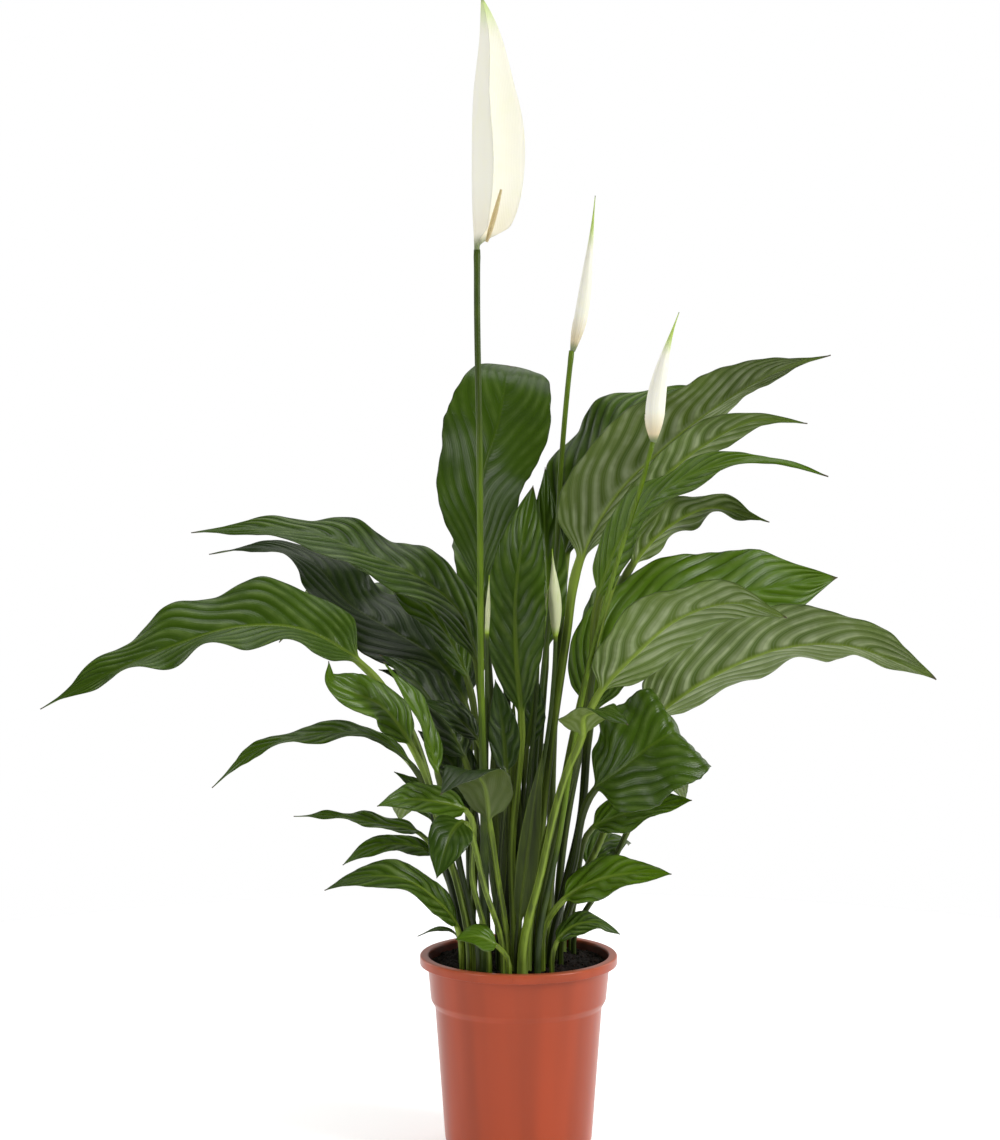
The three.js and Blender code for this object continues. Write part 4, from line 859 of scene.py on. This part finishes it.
def ring_columns(columns):
    """Where a leaf's ring has its points: across the top from edge to edge and back below, as v, with
    the turn of the same point round the stalk, and 1 for the underside."""
    even = np.linspace(-1, 1, columns)
    across = np.sign(even) * np.abs(even) ** EDGE_CROWDING
    v = np.concatenate([across, -across])
    turn = np.pi * (np.repeat([0, 1], columns) + (np.tile(np.arange(columns), 2) + 0.5) / columns)
    return v, turn, np.repeat([0.0, 1.0], columns)


def crowded(count):
    """Shares from 0 to 1, closer together at both ends."""
    even = np.linspace(0, 1, count)
    return even - END_CROWDING * np.sin(2 * np.pi * even)


def leaf_stations(path, neck):
    """Lengths along a leaf, closer together at the neck and tip, and the share of the blade at each."""
    stalk = np.linspace(0, neck, max(6, int(neck / STALK_RING_GAP)), endpoint=False)
    share = crowded(int((path.total - neck) / RING_GAP) + 1)
    blade = neck + (path.total - neck) * share
    return np.concatenate([stalk, blade]), np.concatenate([stalk / max(neck, 1) - 1, share])


def build_leaf(row, look, columns, seed):
    """One leaf, stalk and blade together: quilted between its side veins, keeled under its midrib."""
    path = Path(stem_points(row, row["stalk"] + row["rib"]))
    neck = path.length_at(len(STEM_HEIGHTS) + len(row["stalk"]))
    lengths, along = leaf_stations(path, neck)
    s = np.clip(along, 0, 1)[:, None]
    face = mix(np.array(row["face"], float), np.array(row["tip_face"], float), s)
    v, turn, under = ring_columns(columns)
    flat = smoothstep(s, 0, NECK_SHARE)
    knee = 0.14 * np.exp(-((lengths[:, None] - neck + 16) / 11) ** 2)
    sheath = row.get("sheath", 0) * (1 - smoothstep(lengths / neck, 0, SHEATH_SHARE))[:, None]
    stalk = (row["radius"] + sheath) * mix(1, 0.5, s) * (1 + knee)
    least = mix(0.9, 0.3, smoothstep(s, 0.9, 1))
    rough_edge = 1 + 0.012 * np.sin(37 * s + seed + 2 * np.sign(v)) + 0.008 * np.sin(91 * s + 3 * seed)
    half = np.maximum(np.maximum(half_width(row, s), least), stalk * (1 - flat))
    half = half * mix(1, rough_edge, np.abs(v) ** 3)
    blade_length = path.total - neck
    big = min(1, row["width"] / LARGE_WIDTH)
    veins = max(5, round(blade_length / (look.vein_gap / MM * mix(0.62, 1, big))))
    sweep = VEIN_SWEEP * row["width"] / 2 / blade_length
    vein = veins * (s - sweep * np.abs(v) ** 1.25) + 0.25 * np.tanh(8 * v)
    vein = vein + 0.22 * np.sin(9 * s + seed) + 0.12 * np.sin(23 * s + 4 * v + 2 * seed)
    swell = (0.5 - 0.5 * np.cos(2 * np.pi * vein)) ** 0.8 - 0.55
    veining = LEAF_VEINING.get(row["name"], 1)
    offset = v * half
    taper = smoothstep(s, 0.01, 0.12) * smoothstep(s, 1, 0.9)
    quilt = look.quilting / MM * mix(0.55, 1, big) * swell * taper * veining
    quilt = quilt * smoothstep(np.abs(offset), 0.5, 6) * mix(1, 0.3, np.abs(v) ** 2.5)
    crinkle = np.sin(np.pi * s) * np.sin(2 * np.pi * veins * 0.37 * s + seed + v)
    crinkle = CRINKLE * big * veining * np.abs(v) ** 3 * crinkle
    groove = -GROOVE_DEPTH * np.exp(-(offset / 1.1) ** 2) * mix(1, 0.3, s)
    girth = row["radius"] / 3
    keel = girth * mix(2.5, 0.5, s) * np.exp(-(offset / (girth * mix(2.4, 0.9, s))) ** 2)
    thick = look.thickness / MM + keel
    level = blade_height(row, half, s, v) + 0.25 + quilt + crinkle
    level = level + np.where(under > 0, -thick, groove)
    across = offset * math.cos(math.radians(row["fold"]))
    channel = 1 - 0.16 * np.exp(-((turn - np.pi / 2) / 0.42) ** 2)
    right = mix(-stalk * np.cos(turn) * channel, across, flat)
    rise = mix(stalk * np.sin(turn) * channel, level, flat)
    # A sheath, which shows no veins, has the look of a stalk all along.
    look_share = along if veining else np.minimum(along, -0.5)
    numbers = {
        "along": look_share[:, None], "offset": offset, "half": half, "under": under, "vein": vein,
        "veining": veining,
        "youth": LEAF_YOUTH_AND_LIGHT.get(row["name"], 0.3 + 0.1 * math.sin(seed * 5)),
        "pale": LIT_STALKS.get(row["name"], 0.15 + 0.15 * math.sin(seed * 7)),
    }
    points = ring_points(path.frames(lengths, face), right, rise)
    return make_loft(row, points, numbers, "leaf_map")


# ---- Flowers


# How fine the round pieces are: points round each, and rings along it.
STALK_SIDES = 36
STALK_GAP = 6  # millimetres between rings
ROLLED_SIDES = 64
ROLLED_RINGS = 90
BUD_SIDES = 40
BUD_STALK_RINGS = 50
BUD_RINGS = 46
SPATHE_RINGS = 110
SPADIX_SIDES = 60
SPADIX_RINGS = 150
FLORET_GAP = 1.5  # millimetres


def build_tube(row, path, lengths, turn, radius, numbers):
    """A closed tube along a path, its radius given for each ring and turn."""
    points = ring_points(path.frames(lengths, TUBE_FACE), -radius * np.cos(turn), radius * np.sin(turn))
    return make_loft(row, points, numbers, "stem_map")


def build_flower_stalk(row):
    """A flower's stalk, its end reaching a little way into the foot of the spathe."""
    before, end = np.array(row["points"][-2:], float)
    path = Path(stem_points(row, [*row["points"], tuple(end + unit(end - before) * JOINT_REACH)]))
    lengths = np.linspace(0, path.total, int(path.total / STALK_GAP))
    share = (lengths / path.total)[:, None]
    turn = ring_turns(STALK_SIDES)
    ribs = 1 + 0.035 * np.cos(9 * turn + 3 * share)
    radius = (row["radius"] + row["sheath"] * (1 - smoothstep(share, 0, SHEATH_SHARE))) * ribs
    knee = 1 + 0.1 * np.exp(-((lengths[:, None] - path.total + 6) / 5) ** 2)
    # The stretch of the stalk that is painted brighter, where it stands in the light.
    first, last = row["bright"]
    bright = smoothstep(share, first - 0.08, first + 0.08) * smoothstep(share, last + 0.1, last - 0.05)
    return build_tube(row, path, lengths, turn, radius * knee, {"along": share, "bright": bright})


def spindle(share, fullest, radius, start_radius, end_radius, taper):
    """The radius of a spindle, fullest at one share of its length, narrower at both ends. The higher the
    taper is, the finer its point."""
    low = share < fullest
    rise = np.sin(np.clip(np.where(low, share / fullest, (1 - share) / (1 - fullest)), 0, 1) * np.pi / 2)
    return mix(np.where(low, start_radius, end_radius), radius, rise ** np.where(low, 1, taper))


def rolled(share, turn, step):
    """How a rolled leaf's radius grows round it, with its free edge winding up the spindle, and 1 close
    to that edge."""
    wound = (turn / (2 * np.pi) + 0.55 * share) % 1
    return 1 - step + step * smoothstep(wound, 0, 1) ** 0.8, smoothstep(wound, 0.9, 0.99)


def build_rolled_spathe(row):
    """A spathe still rolled shut: a spindle with the free edge of the rolled leaf winding up it."""
    path = Path(row["points"])
    lengths = np.linspace(0, path.total, ROLLED_RINGS)
    share = (lengths / path.total)[:, None]
    turn = ring_turns(ROLLED_SIDES)
    radius = spindle(share, row["fullest"], row["radius"] * 0.94, 2.2, 0.4, 2)
    grown, seam = rolled(share, turn, 0.2)
    pleats = 1 + 0.02 * np.sin(7 * turn + 5 * share)
    numbers = {"along": share, "offset": turn * row["radius"], "under": 1, "seam": seam}
    return build_tube(row, path, lengths, turn, radius * grown * pleats, numbers)


def build_bud(row):
    """A young bud on its stalk."""
    path = Path(stem_points(row, row["points"] + row["tip"]))
    neck = path.length_at(len(STEM_HEIGHTS) - 1 + len(row["points"]))
    lengths = np.concatenate([np.linspace(0, neck, BUD_STALK_RINGS, endpoint=False),
                              np.linspace(neck, path.total, BUD_RINGS)])
    share = ((lengths - neck) / (path.total - neck))[:, None]
    turn = ring_turns(BUD_SIDES)
    inside = np.clip(share, 0, 1)
    bud = spindle(inside, 0.35, row["swell"], row["radius"], 0.35, 2)
    grown, seam = rolled(inside, turn, 0.16)
    bud = bud * mix(1, grown, smoothstep(inside, 0, 0.1))
    stalk = row["radius"] * (1 + 0.03 * np.cos(7 * turn))
    radius = np.where(share < 0, stalk, bud)
    along = np.where(share < 0, (lengths / neck - 1)[:, None], share)
    return build_tube(row, path, lengths, turn, radius, {"along": along, "seam": seam})


def build_open_spathe(row):
    """The open spathe: a leaf folded along its midrib, each half cupped and its edges a little rolled."""
    path = Path(row["rib"])
    s = crowded(SPATHE_RINGS)
    frames = path.frames(s * path.total, row["face"])
    s = s[:, None]
    v, turn, under = ring_columns(SPATHE_COLUMNS)
    flat = smoothstep(s, 0, NECK_SHARE)
    least = mix(0.9, 0.35, smoothstep(s, 0.9, 1))
    stalk = row["radius"] * mix(1, 0.5, s)
    half = np.maximum(np.maximum(half_width(row, s), least), stalk * (1 - flat))
    offset = v * half
    cup = 0.075 * half * np.sin(np.pi * np.abs(v)) * np.sin(np.pi * s) ** 0.6
    ripple = 0.9 * np.abs(v) ** 3 * np.sin(np.pi * s) * np.sin(11 * s + 2 * v)
    thick = 0.55 + mix(1.5, 0.4, s) * np.exp(-(offset / 1.8) ** 2)
    level = blade_height(row, half, s, v) + 0.25 - cup + ripple - np.where(under > 0, thick, 0)
    right = mix(-stalk * np.cos(turn), offset * math.cos(math.radians(row["fold"])), flat)
    rise = mix(stalk * np.sin(turn), level, flat)
    numbers = {"along": s, "offset": offset, "under": under}
    return make_loft(row, ring_points(frames, right, rise), numbers, "spathe_map")


def build_spadix(row):
    """The spike of the open flower, its florets set in crossing spirals."""
    path = Path(row["points"])
    lengths = np.linspace(0, path.total, SPADIX_RINGS)
    share = (lengths / path.total)[:, None]
    turn = ring_turns(SPADIX_SIDES)
    step = lengths[:, None] / FLORET_GAP * np.pi
    knob = np.abs(np.cos(4 * turn + step / 2) * np.cos(4 * turn - step / 2)) ** 0.6
    radius = spindle(share, 0.35, row["radius"] * 0.9, 1.1, 0.9, 1) * (0.84 + 0.26 * knob)
    return build_tube(row, path, lengths, turn, radius, {"knob": knob})


# ---- Pot and soil

POT_HEIGHT = 169
POT_SIDES = 192
RIM_RADIUS = 85
RIM_DEPTH = 8
RIM_ROLL = 2
COLLAR_TOP_RADIUS = 79
COLLAR_FOOT_RADIUS = 75.5
COLLAR_FOOT_Z = 130
LEDGE_FOOT_Z = 124
BODY_TOP_RADIUS = 72
BODY_FOOT_RADIUS = 63.5
BODY_FOOT_Z = 8
FOOT_RADIUS = 60.5
POT_WALL = 1.5
FLOOR_THICKNESS = 2
CHANNEL_HEIGHT = 4
CHANNEL_INNER_RADIUS = 34
CHANNEL_OUTER_RADIUS = 54
CHANNEL_SLOPE = 3
DRAIN_HOLES = 8
DRAIN_RADIUS = 5
SOIL_GAP = 0.3
SOIL_EDGE = COLLAR_TOP_RADIUS - POT_WALL - 1.2
SOIL_SIDES = 288
SOIL_RINGS = 104
CRUMBS = 900
CRUMB_SPREAD = 74
FIBRE_SHARE = 0.12
FIBRE_SHAPE = (3.5, 0.35, 0.3)
GATE_SIZE = (1.1, 1.0, 5.0)
GATE_PLACE = (-5.3, -84.6, POT_HEIGHT - 4.2)

# Radius of the first and last ring of a turned piece, which the end faces close.
POT_AXIS = 0.4
SOIL_AXIS = 0.3

# The pot's outer wall from its foot to its lip, as (radius, height).
POT_OUTSIDE = [
    (FOOT_RADIUS, 0), (BODY_FOOT_RADIUS, BODY_FOOT_Z), (BODY_TOP_RADIUS, LEDGE_FOOT_Z),
    (COLLAR_FOOT_RADIUS, COLLAR_FOOT_Z), (COLLAR_TOP_RADIUS, POT_HEIGHT - RIM_ROLL),
    (RIM_RADIUS - POT_WALL, POT_HEIGHT - RIM_ROLL), (RIM_RADIUS - POT_WALL, POT_HEIGHT - RIM_DEPTH),
    (RIM_RADIUS, POT_HEIGHT - RIM_DEPTH), (RIM_RADIUS, POT_HEIGHT - RIM_ROLL / 2),
    (RIM_RADIUS - RIM_ROLL / 2, POT_HEIGHT), (COLLAR_TOP_RADIUS - RIM_ROLL / 2, POT_HEIGHT),
    (COLLAR_TOP_RADIUS - POT_WALL, POT_HEIGHT - RIM_ROLL),
]


def inner_wall(gap):
    """The pot's inner wall from its collar down, drawn in by a gap where the soil follows it."""
    return [(radius - POT_WALL - gap, height + POT_WALL + gap) for radius, height in (
        (COLLAR_FOOT_RADIUS, COLLAR_FOOT_Z), (BODY_TOP_RADIUS, LEDGE_FOOT_Z),
        (BODY_FOOT_RADIUS, BODY_FOOT_Z - POT_WALL), (FOOT_RADIUS, FLOOR_THICKNESS - POT_WALL))]


def floor_outline(lift):
    """The pot's floor from its centre outwards: a flat pad and a raised drainage channel."""
    top = CHANNEL_HEIGHT + lift
    return [(0, lift), (CHANNEL_INNER_RADIUS, lift), (CHANNEL_INNER_RADIUS + CHANNEL_SLOPE, top),
            (CHANNEL_OUTER_RADIUS - CHANNEL_SLOPE, top), (CHANNEL_OUTER_RADIUS, lift)]


def rounded(outline, radius, steps=4):
    """An outline with its corners rounded, its first and last points kept."""
    spots = np.array(outline, float)
    smooth = [spots[0]]
    for before, corner, after in zip(spots, spots[1:], spots[2:]):
        back, ahead = before - corner, after - corner
        cut = min(radius, 0.45 * np.linalg.norm(back), 0.45 * np.linalg.norm(ahead))
        start, end = corner + unit(back) * cut, corner + unit(ahead) * cut
        for share in np.linspace(0, 1, steps + 1):
            smooth.append(mix(mix(start, corner, share), mix(corner, end, share), share))
    return np.array([*smooth, spots[-1]])


def turned_points(outline, sides):
    turn = 2 * np.pi * np.arange(sides) / sides
    radius, height = outline[:, 0, None], outline[:, 1, None]
    return np.stack([radius * np.cos(turn), radius * np.sin(turn), height + 0 * turn], -1)


def build_pot(look):
    """The moulded pot: rounded lip, collar, ledge, tapered body and a base with drain holes."""
    outline = floor_outline(0) + POT_OUTSIDE + inner_wall(0) + floor_outline(FLOOR_THICKNESS)[::-1]
    line = rounded(outline, look.corner / MM)
    line[0, 0] = line[-1, 0] = POT_AXIS
    points = turned_points(line, POT_SIDES)
    rings = len(line)
    faces = [face[::-1] for face in loft_faces(rings, POT_SIDES)]
    lip = smoothstep(points[..., 2], POT_HEIGHT - 2.5, POT_HEIGHT - 0.2)
    past_lip = np.arange(rings) > np.argmax(line[:, 1] * (line[:, 0] < COLLAR_TOP_RADIUS - RIM_ROLL / 2))
    # Where the inner wall below the lip gets its painted shade.
    inside = past_lip[:, None] * smoothstep(points[..., 2], POT_HEIGHT - 1, POT_HEIGHT - 4)
    piece = make_piece("fine_pot", points, faces, {"rim": lip, "inside": inside})
    add_ring_map(piece, rings, POT_SIDES, "pot_map")
    cut_drain_holes(piece)
    add_gate_mark(piece)
    return piece


def cut_drain_holes(pot):
    """Cuts the drain holes through the raised channel of the floor."""
    drill = bmesh.new()
    middle = (CHANNEL_INNER_RADIUS + CHANNEL_OUTER_RADIUS) / 2 * MM
    for i in range(DRAIN_HOLES):
        turn = 2 * math.pi * (i + 0.5) / DRAIN_HOLES
        place = Matrix.Translation((middle * math.cos(turn), middle * math.sin(turn), CHANNEL_HEIGHT * MM))
        bmesh.ops.create_cone(drill, cap_ends=True, segments=32, radius1=DRAIN_RADIUS * MM,
                              radius2=DRAIN_RADIUS * MM, depth=3 * CHANNEL_HEIGHT * MM, matrix=place)
    mesh = bpy.data.meshes.new("drill")
    drill.to_mesh(mesh)
    drill.free()
    cutter = add_object("drill", mesh)
    cut = pot.modifiers.new("drain holes", "BOOLEAN")
    cut.operation = "DIFFERENCE"
    cut.object = cutter
    shown = pot.evaluated_get(bpy.context.evaluated_depsgraph_get())
    pot.data = bpy.data.meshes.new_from_object(shown)
    pot.modifiers.clear()
    bpy.data.objects.remove(cutter)


def add_gate_mark(pot):
    """The small raised mark on the lip where the mould was filled, at the front."""
    work = bmesh.new()
    work.from_mesh(pot.data)
    size = Matrix.Diagonal((*(Vector(GATE_SIZE) * MM), 1))
    place = Matrix.Translation(Vector(GATE_PLACE) * MM)
    mark = bmesh.ops.create_icosphere(work, subdivisions=3, radius=0.5, matrix=place @ size)
    for face in {face for vert in mark["verts"] for face in vert.link_faces}:
        face.smooth = True
    work.to_mesh(pot.data)
    work.free()


def stem_feet():
    """Where every stem leaves the soil, and its radius there."""
    rows = LARGE_LEAVES + SMALL_LEAVES + FLOWER_STALKS + YOUNG_BUDS
    return np.array([(*row["foot"], row["radius"] + row.get("sheath", 0)) for row in rows], float)


def stem_distance(x, y, feet):
    """How far a place on the soil is from the nearest stem."""
    return np.min(np.hypot(feet[:, 0] - x, feet[:, 1] - y) - feet[:, 2])


def soil_level(x, y, feet):
    """The height of the soil: mounded, crumbly, and drawn in a little round each stem."""
    radius = math.hypot(x, y)
    level = SOIL_TOP + SOIL_MOUND * (1 - (radius / SOIL_EDGE) ** 2)
    place = Vector((x, y, 3))
    level += 2.4 * noise.fractal(place * 0.09, 0.9, 2.1, 5)
    level += 0.9 * abs(noise.noise(place * 0.5)) - 0.3
    level -= 1.6 * math.exp(-(max(stem_distance(x, y, feet), 0) / 2.2) ** 2)
    return min(level, SOIL_TOP + SOIL_MOUND + 2.5) if radius < SOIL_EDGE - 4 else min(level, SOIL_TOP + 5)


def soil_crumbs(size, feet):
    """Points and faces of loose crumbs and fibres half sunk in the soil."""
    dice = np.random.default_rng(7)
    ball = bmesh.new()
    bmesh.ops.create_icosphere(ball, subdivisions=2, radius=1)
    shape = np.array([vert.co for vert in ball.verts])
    corners = [[vert.index for vert in face.verts] for face in ball.faces]
    ball.free()
    points, faces = [], []
    while len(points) < CRUMBS:
        radius, turn = CRUMB_SPREAD * math.sqrt(dice.random()), 2 * math.pi * dice.random()
        x, y = radius * math.cos(turn), radius * math.sin(turn)
        reach = size * dice.uniform(0.18, 0.5) ** 1.4 * 1.5
        fibre = dice.random() < FIBRE_SHARE
        stretch = np.array(FIBRE_SHAPE) if fibre else dice.uniform(0.6, 1.25, 3)
        spin = Matrix.Rotation(dice.uniform(0, 6.28), 3, "Z")
        spin = spin @ Matrix.Rotation(dice.uniform(-0.4, 0.4), 3, "X")
        apart = Vector((len(points), 0, 0))
        bumps = np.array([1 + 0.35 * noise.noise(Vector(spot * 1.3) + apart) for spot in shape])
        if stem_distance(x, y, feet) > 0.8:
            lump = (shape * bumps[:, None] * stretch * reach) @ np.array(spin).T
            base = len(points) * len(shape)
            faces += [[base + corner for corner in face] for face in corners]
            points.append(lump + (x, y, soil_level(x, y, feet) + 0.15 * reach))
    return np.vstack(points), faces


def build_soil(look):
    """The filled pot's soil: a crumbly mounded top over a body that follows the pot's inside."""
    feet = stem_feet()
    radii = np.concatenate([[SOIL_AXIS], np.linspace(1, SOIL_EDGE, SOIL_RINGS)])
    top = turned_points(np.stack([radii, 0 * radii], -1), SOIL_SIDES)
    for ring in top:
        for spot in ring:
            spot[2] = soil_level(spot[0], spot[1], feet)
    wall = [(SOIL_EDGE - 0.6, SOIL_TOP - 7), *inner_wall(SOIL_GAP)]
    floor = floor_outline(FLOOR_THICKNESS + SOIL_GAP)[::-1]
    below = np.array(wall + floor[:-1] + [(SOIL_AXIS, FLOOR_THICKNESS + SOIL_GAP)], float)
    points = np.concatenate([top, turned_points(below, SOIL_SIDES)])
    faces = loft_faces(len(points), SOIL_SIDES)
    crumbs, crumb_faces = soil_crumbs(look.crumb / MM, feet)
    base = len(points) * SOIL_SIDES
    faces = faces + [[base + corner for corner in face] for face in crumb_faces]
    dry = np.repeat(np.random.default_rng(3).random(CRUMBS) ** 2, len(crumbs) // CRUMBS)
    numbers = {"crumb": np.concatenate([np.zeros(base), dry])}
    return make_piece("fine_soil", np.vstack([points.reshape(-1, 3), crumbs]), faces, numbers)


# ---- Stage, in metres

FLOOR_REACH = 1.1
FLOOR_SIDES = 96
LIGHT_TARGET = (0, 0, 0.45)
CAMERA_PLACE = (-0.016, -2.8, 0.786)
CAMERA_TILT = 84.2  # degrees
CAMERA_LENS = 104.27  # millimetres, as is the sensor
SENSOR_HEIGHT = 36

# The soft lights: where each stands, its width and height, and the setting that holds its power.
SOFT_LIGHTS = {
    "key_light": ((2.3, -1.3, 1.5), (1.0, 1.9), "key"),
    "fill_light": ((-2.2, -1.7, 1.0), (1.2, 1.6), "fill"),
    "top_light": ((-0.2, 0.3, 2.7), (1.6, 1.6), "top"),
    "rim_light_left": ((-1.9, 1.5, 0.9), (0.9, 1.8), "rim"),
    "rim_light_right": ((1.9, 1.5, 0.9), (0.9, 1.8), "rim"),
}


def build_stage(look):
    """A plain pale floor, soft studio light and the camera at the photograph's angle."""
    mesh = bpy.data.meshes.new("floor")
    turn = 2 * np.pi * np.arange(FLOOR_SIDES) / FLOOR_SIDES
    ring = np.stack([np.cos(turn), np.sin(turn), 0 * turn], -1) * FLOOR_REACH
    mesh.from_pydata(ring.tolist(), [], [list(range(FLOOR_SIDES))])
    floor = add_object("floor", mesh)
    f = Finish("floor_pale", Specular_IOR_Level=0.1, Roughness=0.9, Emission_Color=(1, 1, 1),
               Emission_Strength=0.5)
    f.drive(Base_Color=f.blend(f.noise(3, 2) * 0.05, look.floor, shade(look.floor, 0.9)))
    mesh.materials.append(f.material)
    add_room(look.room, look.backdrop)
    for name, (place, size, power) in SOFT_LIGHTS.items():
        add_soft_light(name, place, size, getattr(look, power))
    add_camera()
    bpy.context.scene.view_settings.view_transform = "Standard"


def add_room(strength, backdrop):
    """Even light from the room in front, brighter from the pale backdrop behind the plant. The camera
    sees a plain white background."""
    room = bpy.data.worlds.new("room")
    room.use_nodes = True
    tree = room.node_tree
    seen = add_node(tree, "ShaderNodeLightPath", {}, {}).outputs["Is Camera Ray"]
    toward = add_node(tree, "ShaderNodeTexCoord", {}, {}).outputs["Generated"]
    toward = add_node(tree, "ShaderNodeSeparateXYZ", {}, {0: toward}).outputs["Y"]
    light = add_node(tree, "ShaderNodeMapRange", {"interpolation_type": "SMOOTHSTEP"}, {
        "Value": toward, "From Min": -0.3, "From Max": 0.7, "To Min": strength, "To Max": backdrop})
    level = add_node(tree, "ShaderNodeMapRange", {}, {
        "Value": seen, "To Min": light.outputs["Result"], "To Max": 1})
    background = tree.nodes["Background"]
    put(tree, background.inputs["Color"], (1, 1, 1))
    put(tree, background.inputs["Strength"], level.outputs["Result"])
    bpy.context.scene.world = room


def add_soft_light(name, place, size, power):
    light = bpy.data.lights.new(name, "AREA")
    light.shape = "RECTANGLE"
    light.size, light.size_y = size
    light.energy = power
    lamp = add_object(name, light)
    lamp.location = place
    lamp.rotation_euler = (Vector(LIGHT_TARGET) - Vector(place)).to_track_quat("-Z", "Y").to_euler()


def add_camera():
    """The photograph's camera: level with the leaves and looking a little down."""
    lens = bpy.data.cameras.new("photo_camera")
    lens.sensor_fit = "VERTICAL"
    lens.sensor_height = SENSOR_HEIGHT
    lens.lens = CAMERA_LENS
    camera = add_object("photo_camera", lens)
    camera.location = CAMERA_PLACE
    camera.rotation_euler = (math.radians(CAMERA_TILT), 0, 0)
    bpy.context.scene.camera = camera


# ---- Operators, panel and registration


class PEACELILY_OT_pot(bpy.types.Operator):
    """Builds the nursery pot"""
    bl_idname = "peace_lily.pot"
    bl_label = "Pot"

    def execute(self, context):
        look = context.scene.peace_lily_pot
        settle(build_pot(look), "pot", plastic_finish(look))
        return {"FINISHED"}


class PEACELILY_OT_soil(bpy.types.Operator):
    """Builds the soil that fills the pot"""
    bl_idname = "peace_lily.soil"
    bl_label = "Soil"

    def execute(self, context):
        look = context.scene.peace_lily_pot
        settle(build_soil(look), "soil", soil_finish(look))
        return {"FINISHED"}


class PEACELILY_OT_leaves(bpy.types.Operator):
    """Builds every leaf, each with its stalk"""
    bl_idname = "peace_lily.leaves"
    bl_label = "Leaves"

    def execute(self, context):
        look = context.scene.peace_lily_leaves
        finish = leaf_finish(look)
        for seed, row in enumerate(LARGE_LEAVES):
            settle(build_leaf(row, look, LARGE_COLUMNS, seed), row["name"], finish)
        for seed, row in enumerate(SMALL_LEAVES, len(LARGE_LEAVES)):
            settle(build_leaf(row, look, SMALL_COLUMNS, seed), row["name"], finish)
        return {"FINISHED"}


class PEACELILY_OT_flower_stalks(bpy.types.Operator):
    """Builds the stalks of the three flowers"""
    bl_idname = "peace_lily.flower_stalks"
    bl_label = "Flower stalks"

    def execute(self, context):
        finish = stem_finish(context.scene.peace_lily_flowers)
        for row in FLOWER_STALKS:
            settle(build_flower_stalk(row), row["name"], finish)
        return {"FINISHED"}


class PEACELILY_OT_spathes(bpy.types.Operator):
    """Builds the open spathe and the two that are still rolled shut"""
    bl_idname = "peace_lily.spathes"
    bl_label = "Spathes"

    def execute(self, context):
        look = context.scene.peace_lily_flowers
        settle(build_open_spathe(OPEN_SPATHE), "spathe_tall",
               spathe_finish(look, "spathe_open", 0.83, 0.3))
        closed = spathe_finish(look, "spathe_closed", 0.62, 0.95)
        for row in ROLLED_SPATHES:
            settle(build_rolled_spathe(row), row["name"], closed)
        return {"FINISHED"}


class PEACELILY_OT_spadix(bpy.types.Operator):
    """Builds the knobbly spike of the open flower"""
    bl_idname = "peace_lily.spadix"
    bl_label = "Spadix"

    def execute(self, context):
        settle(build_spadix(SPADIX), "spadix_tall", spadix_finish(context.scene.peace_lily_flowers))
        return {"FINISHED"}


class PEACELILY_OT_buds(bpy.types.Operator):
    """Builds the young buds low in the clump"""
    bl_idname = "peace_lily.buds"
    bl_label = "Young buds"

    def execute(self, context):
        finish = bud_finish(context.scene.peace_lily_flowers)
        for row in YOUNG_BUDS:
            settle(build_bud(row), row["name"], finish)
        return {"FINISHED"}


class PEACELILY_OT_stage(bpy.types.Operator):
    """Sets up the floor, the light and the camera"""
    bl_idname = "peace_lily.stage"
    bl_label = "Stage"

    def execute(self, context):
        build_stage(context.scene.peace_lily_stage)
        return {"FINISHED"}


OPERATORS = (PEACELILY_OT_pot, PEACELILY_OT_soil, PEACELILY_OT_leaves, PEACELILY_OT_flower_stalks,
             PEACELILY_OT_spathes, PEACELILY_OT_spadix, PEACELILY_OT_buds, PEACELILY_OT_stage)
SETTINGS = {
    "peace_lily_leaves": PEACELILY_PG_leaves, "peace_lily_flowers": PEACELILY_PG_flowers,
    "peace_lily_pot": PEACELILY_PG_pot, "peace_lily_stage": PEACELILY_PG_stage,
}


class PEACELILY_PT_panel(bpy.types.Panel):
    """The pieces of the plant, in the sidebar"""
    bl_idname = "PEACELILY_PT_panel"
    bl_label = "Potted Peace Lily"
    bl_space_type = "VIEW_3D"
    bl_region_type = "UI"
    bl_category = "Peace Lily"

    def draw(self, context):
        for operator in OPERATORS:
            self.layout.operator(operator.bl_idname)
        for key, group in SETTINGS.items():
            box = self.layout.box()
            for name in group.__annotations__:
                box.prop(getattr(context.scene, key), name)


def register():
    for group in SETTINGS.values():
        bpy.utils.register_class(group)
    for key, group in SETTINGS.items():
        setattr(bpy.types.Scene, key, bpy.props.PointerProperty(type=group))
    for operator in OPERATORS:
        bpy.utils.register_class(operator)
    bpy.utils.register_class(PEACELILY_PT_panel)


def unregister():
    bpy.utils.unregister_class(PEACELILY_PT_panel)
    for operator in OPERATORS:
        bpy.utils.unregister_class(operator)
    for key, group in SETTINGS.items():
        delattr(bpy.types.Scene, key)
        bpy.utils.unregister_class(group)


def main():
    register()
    for operator in OPERATORS:
        family, name = operator.bl_idname.split(".")
        getattr(getattr(bpy.ops, family), name)()


if __name__ == "__main__":
    main()
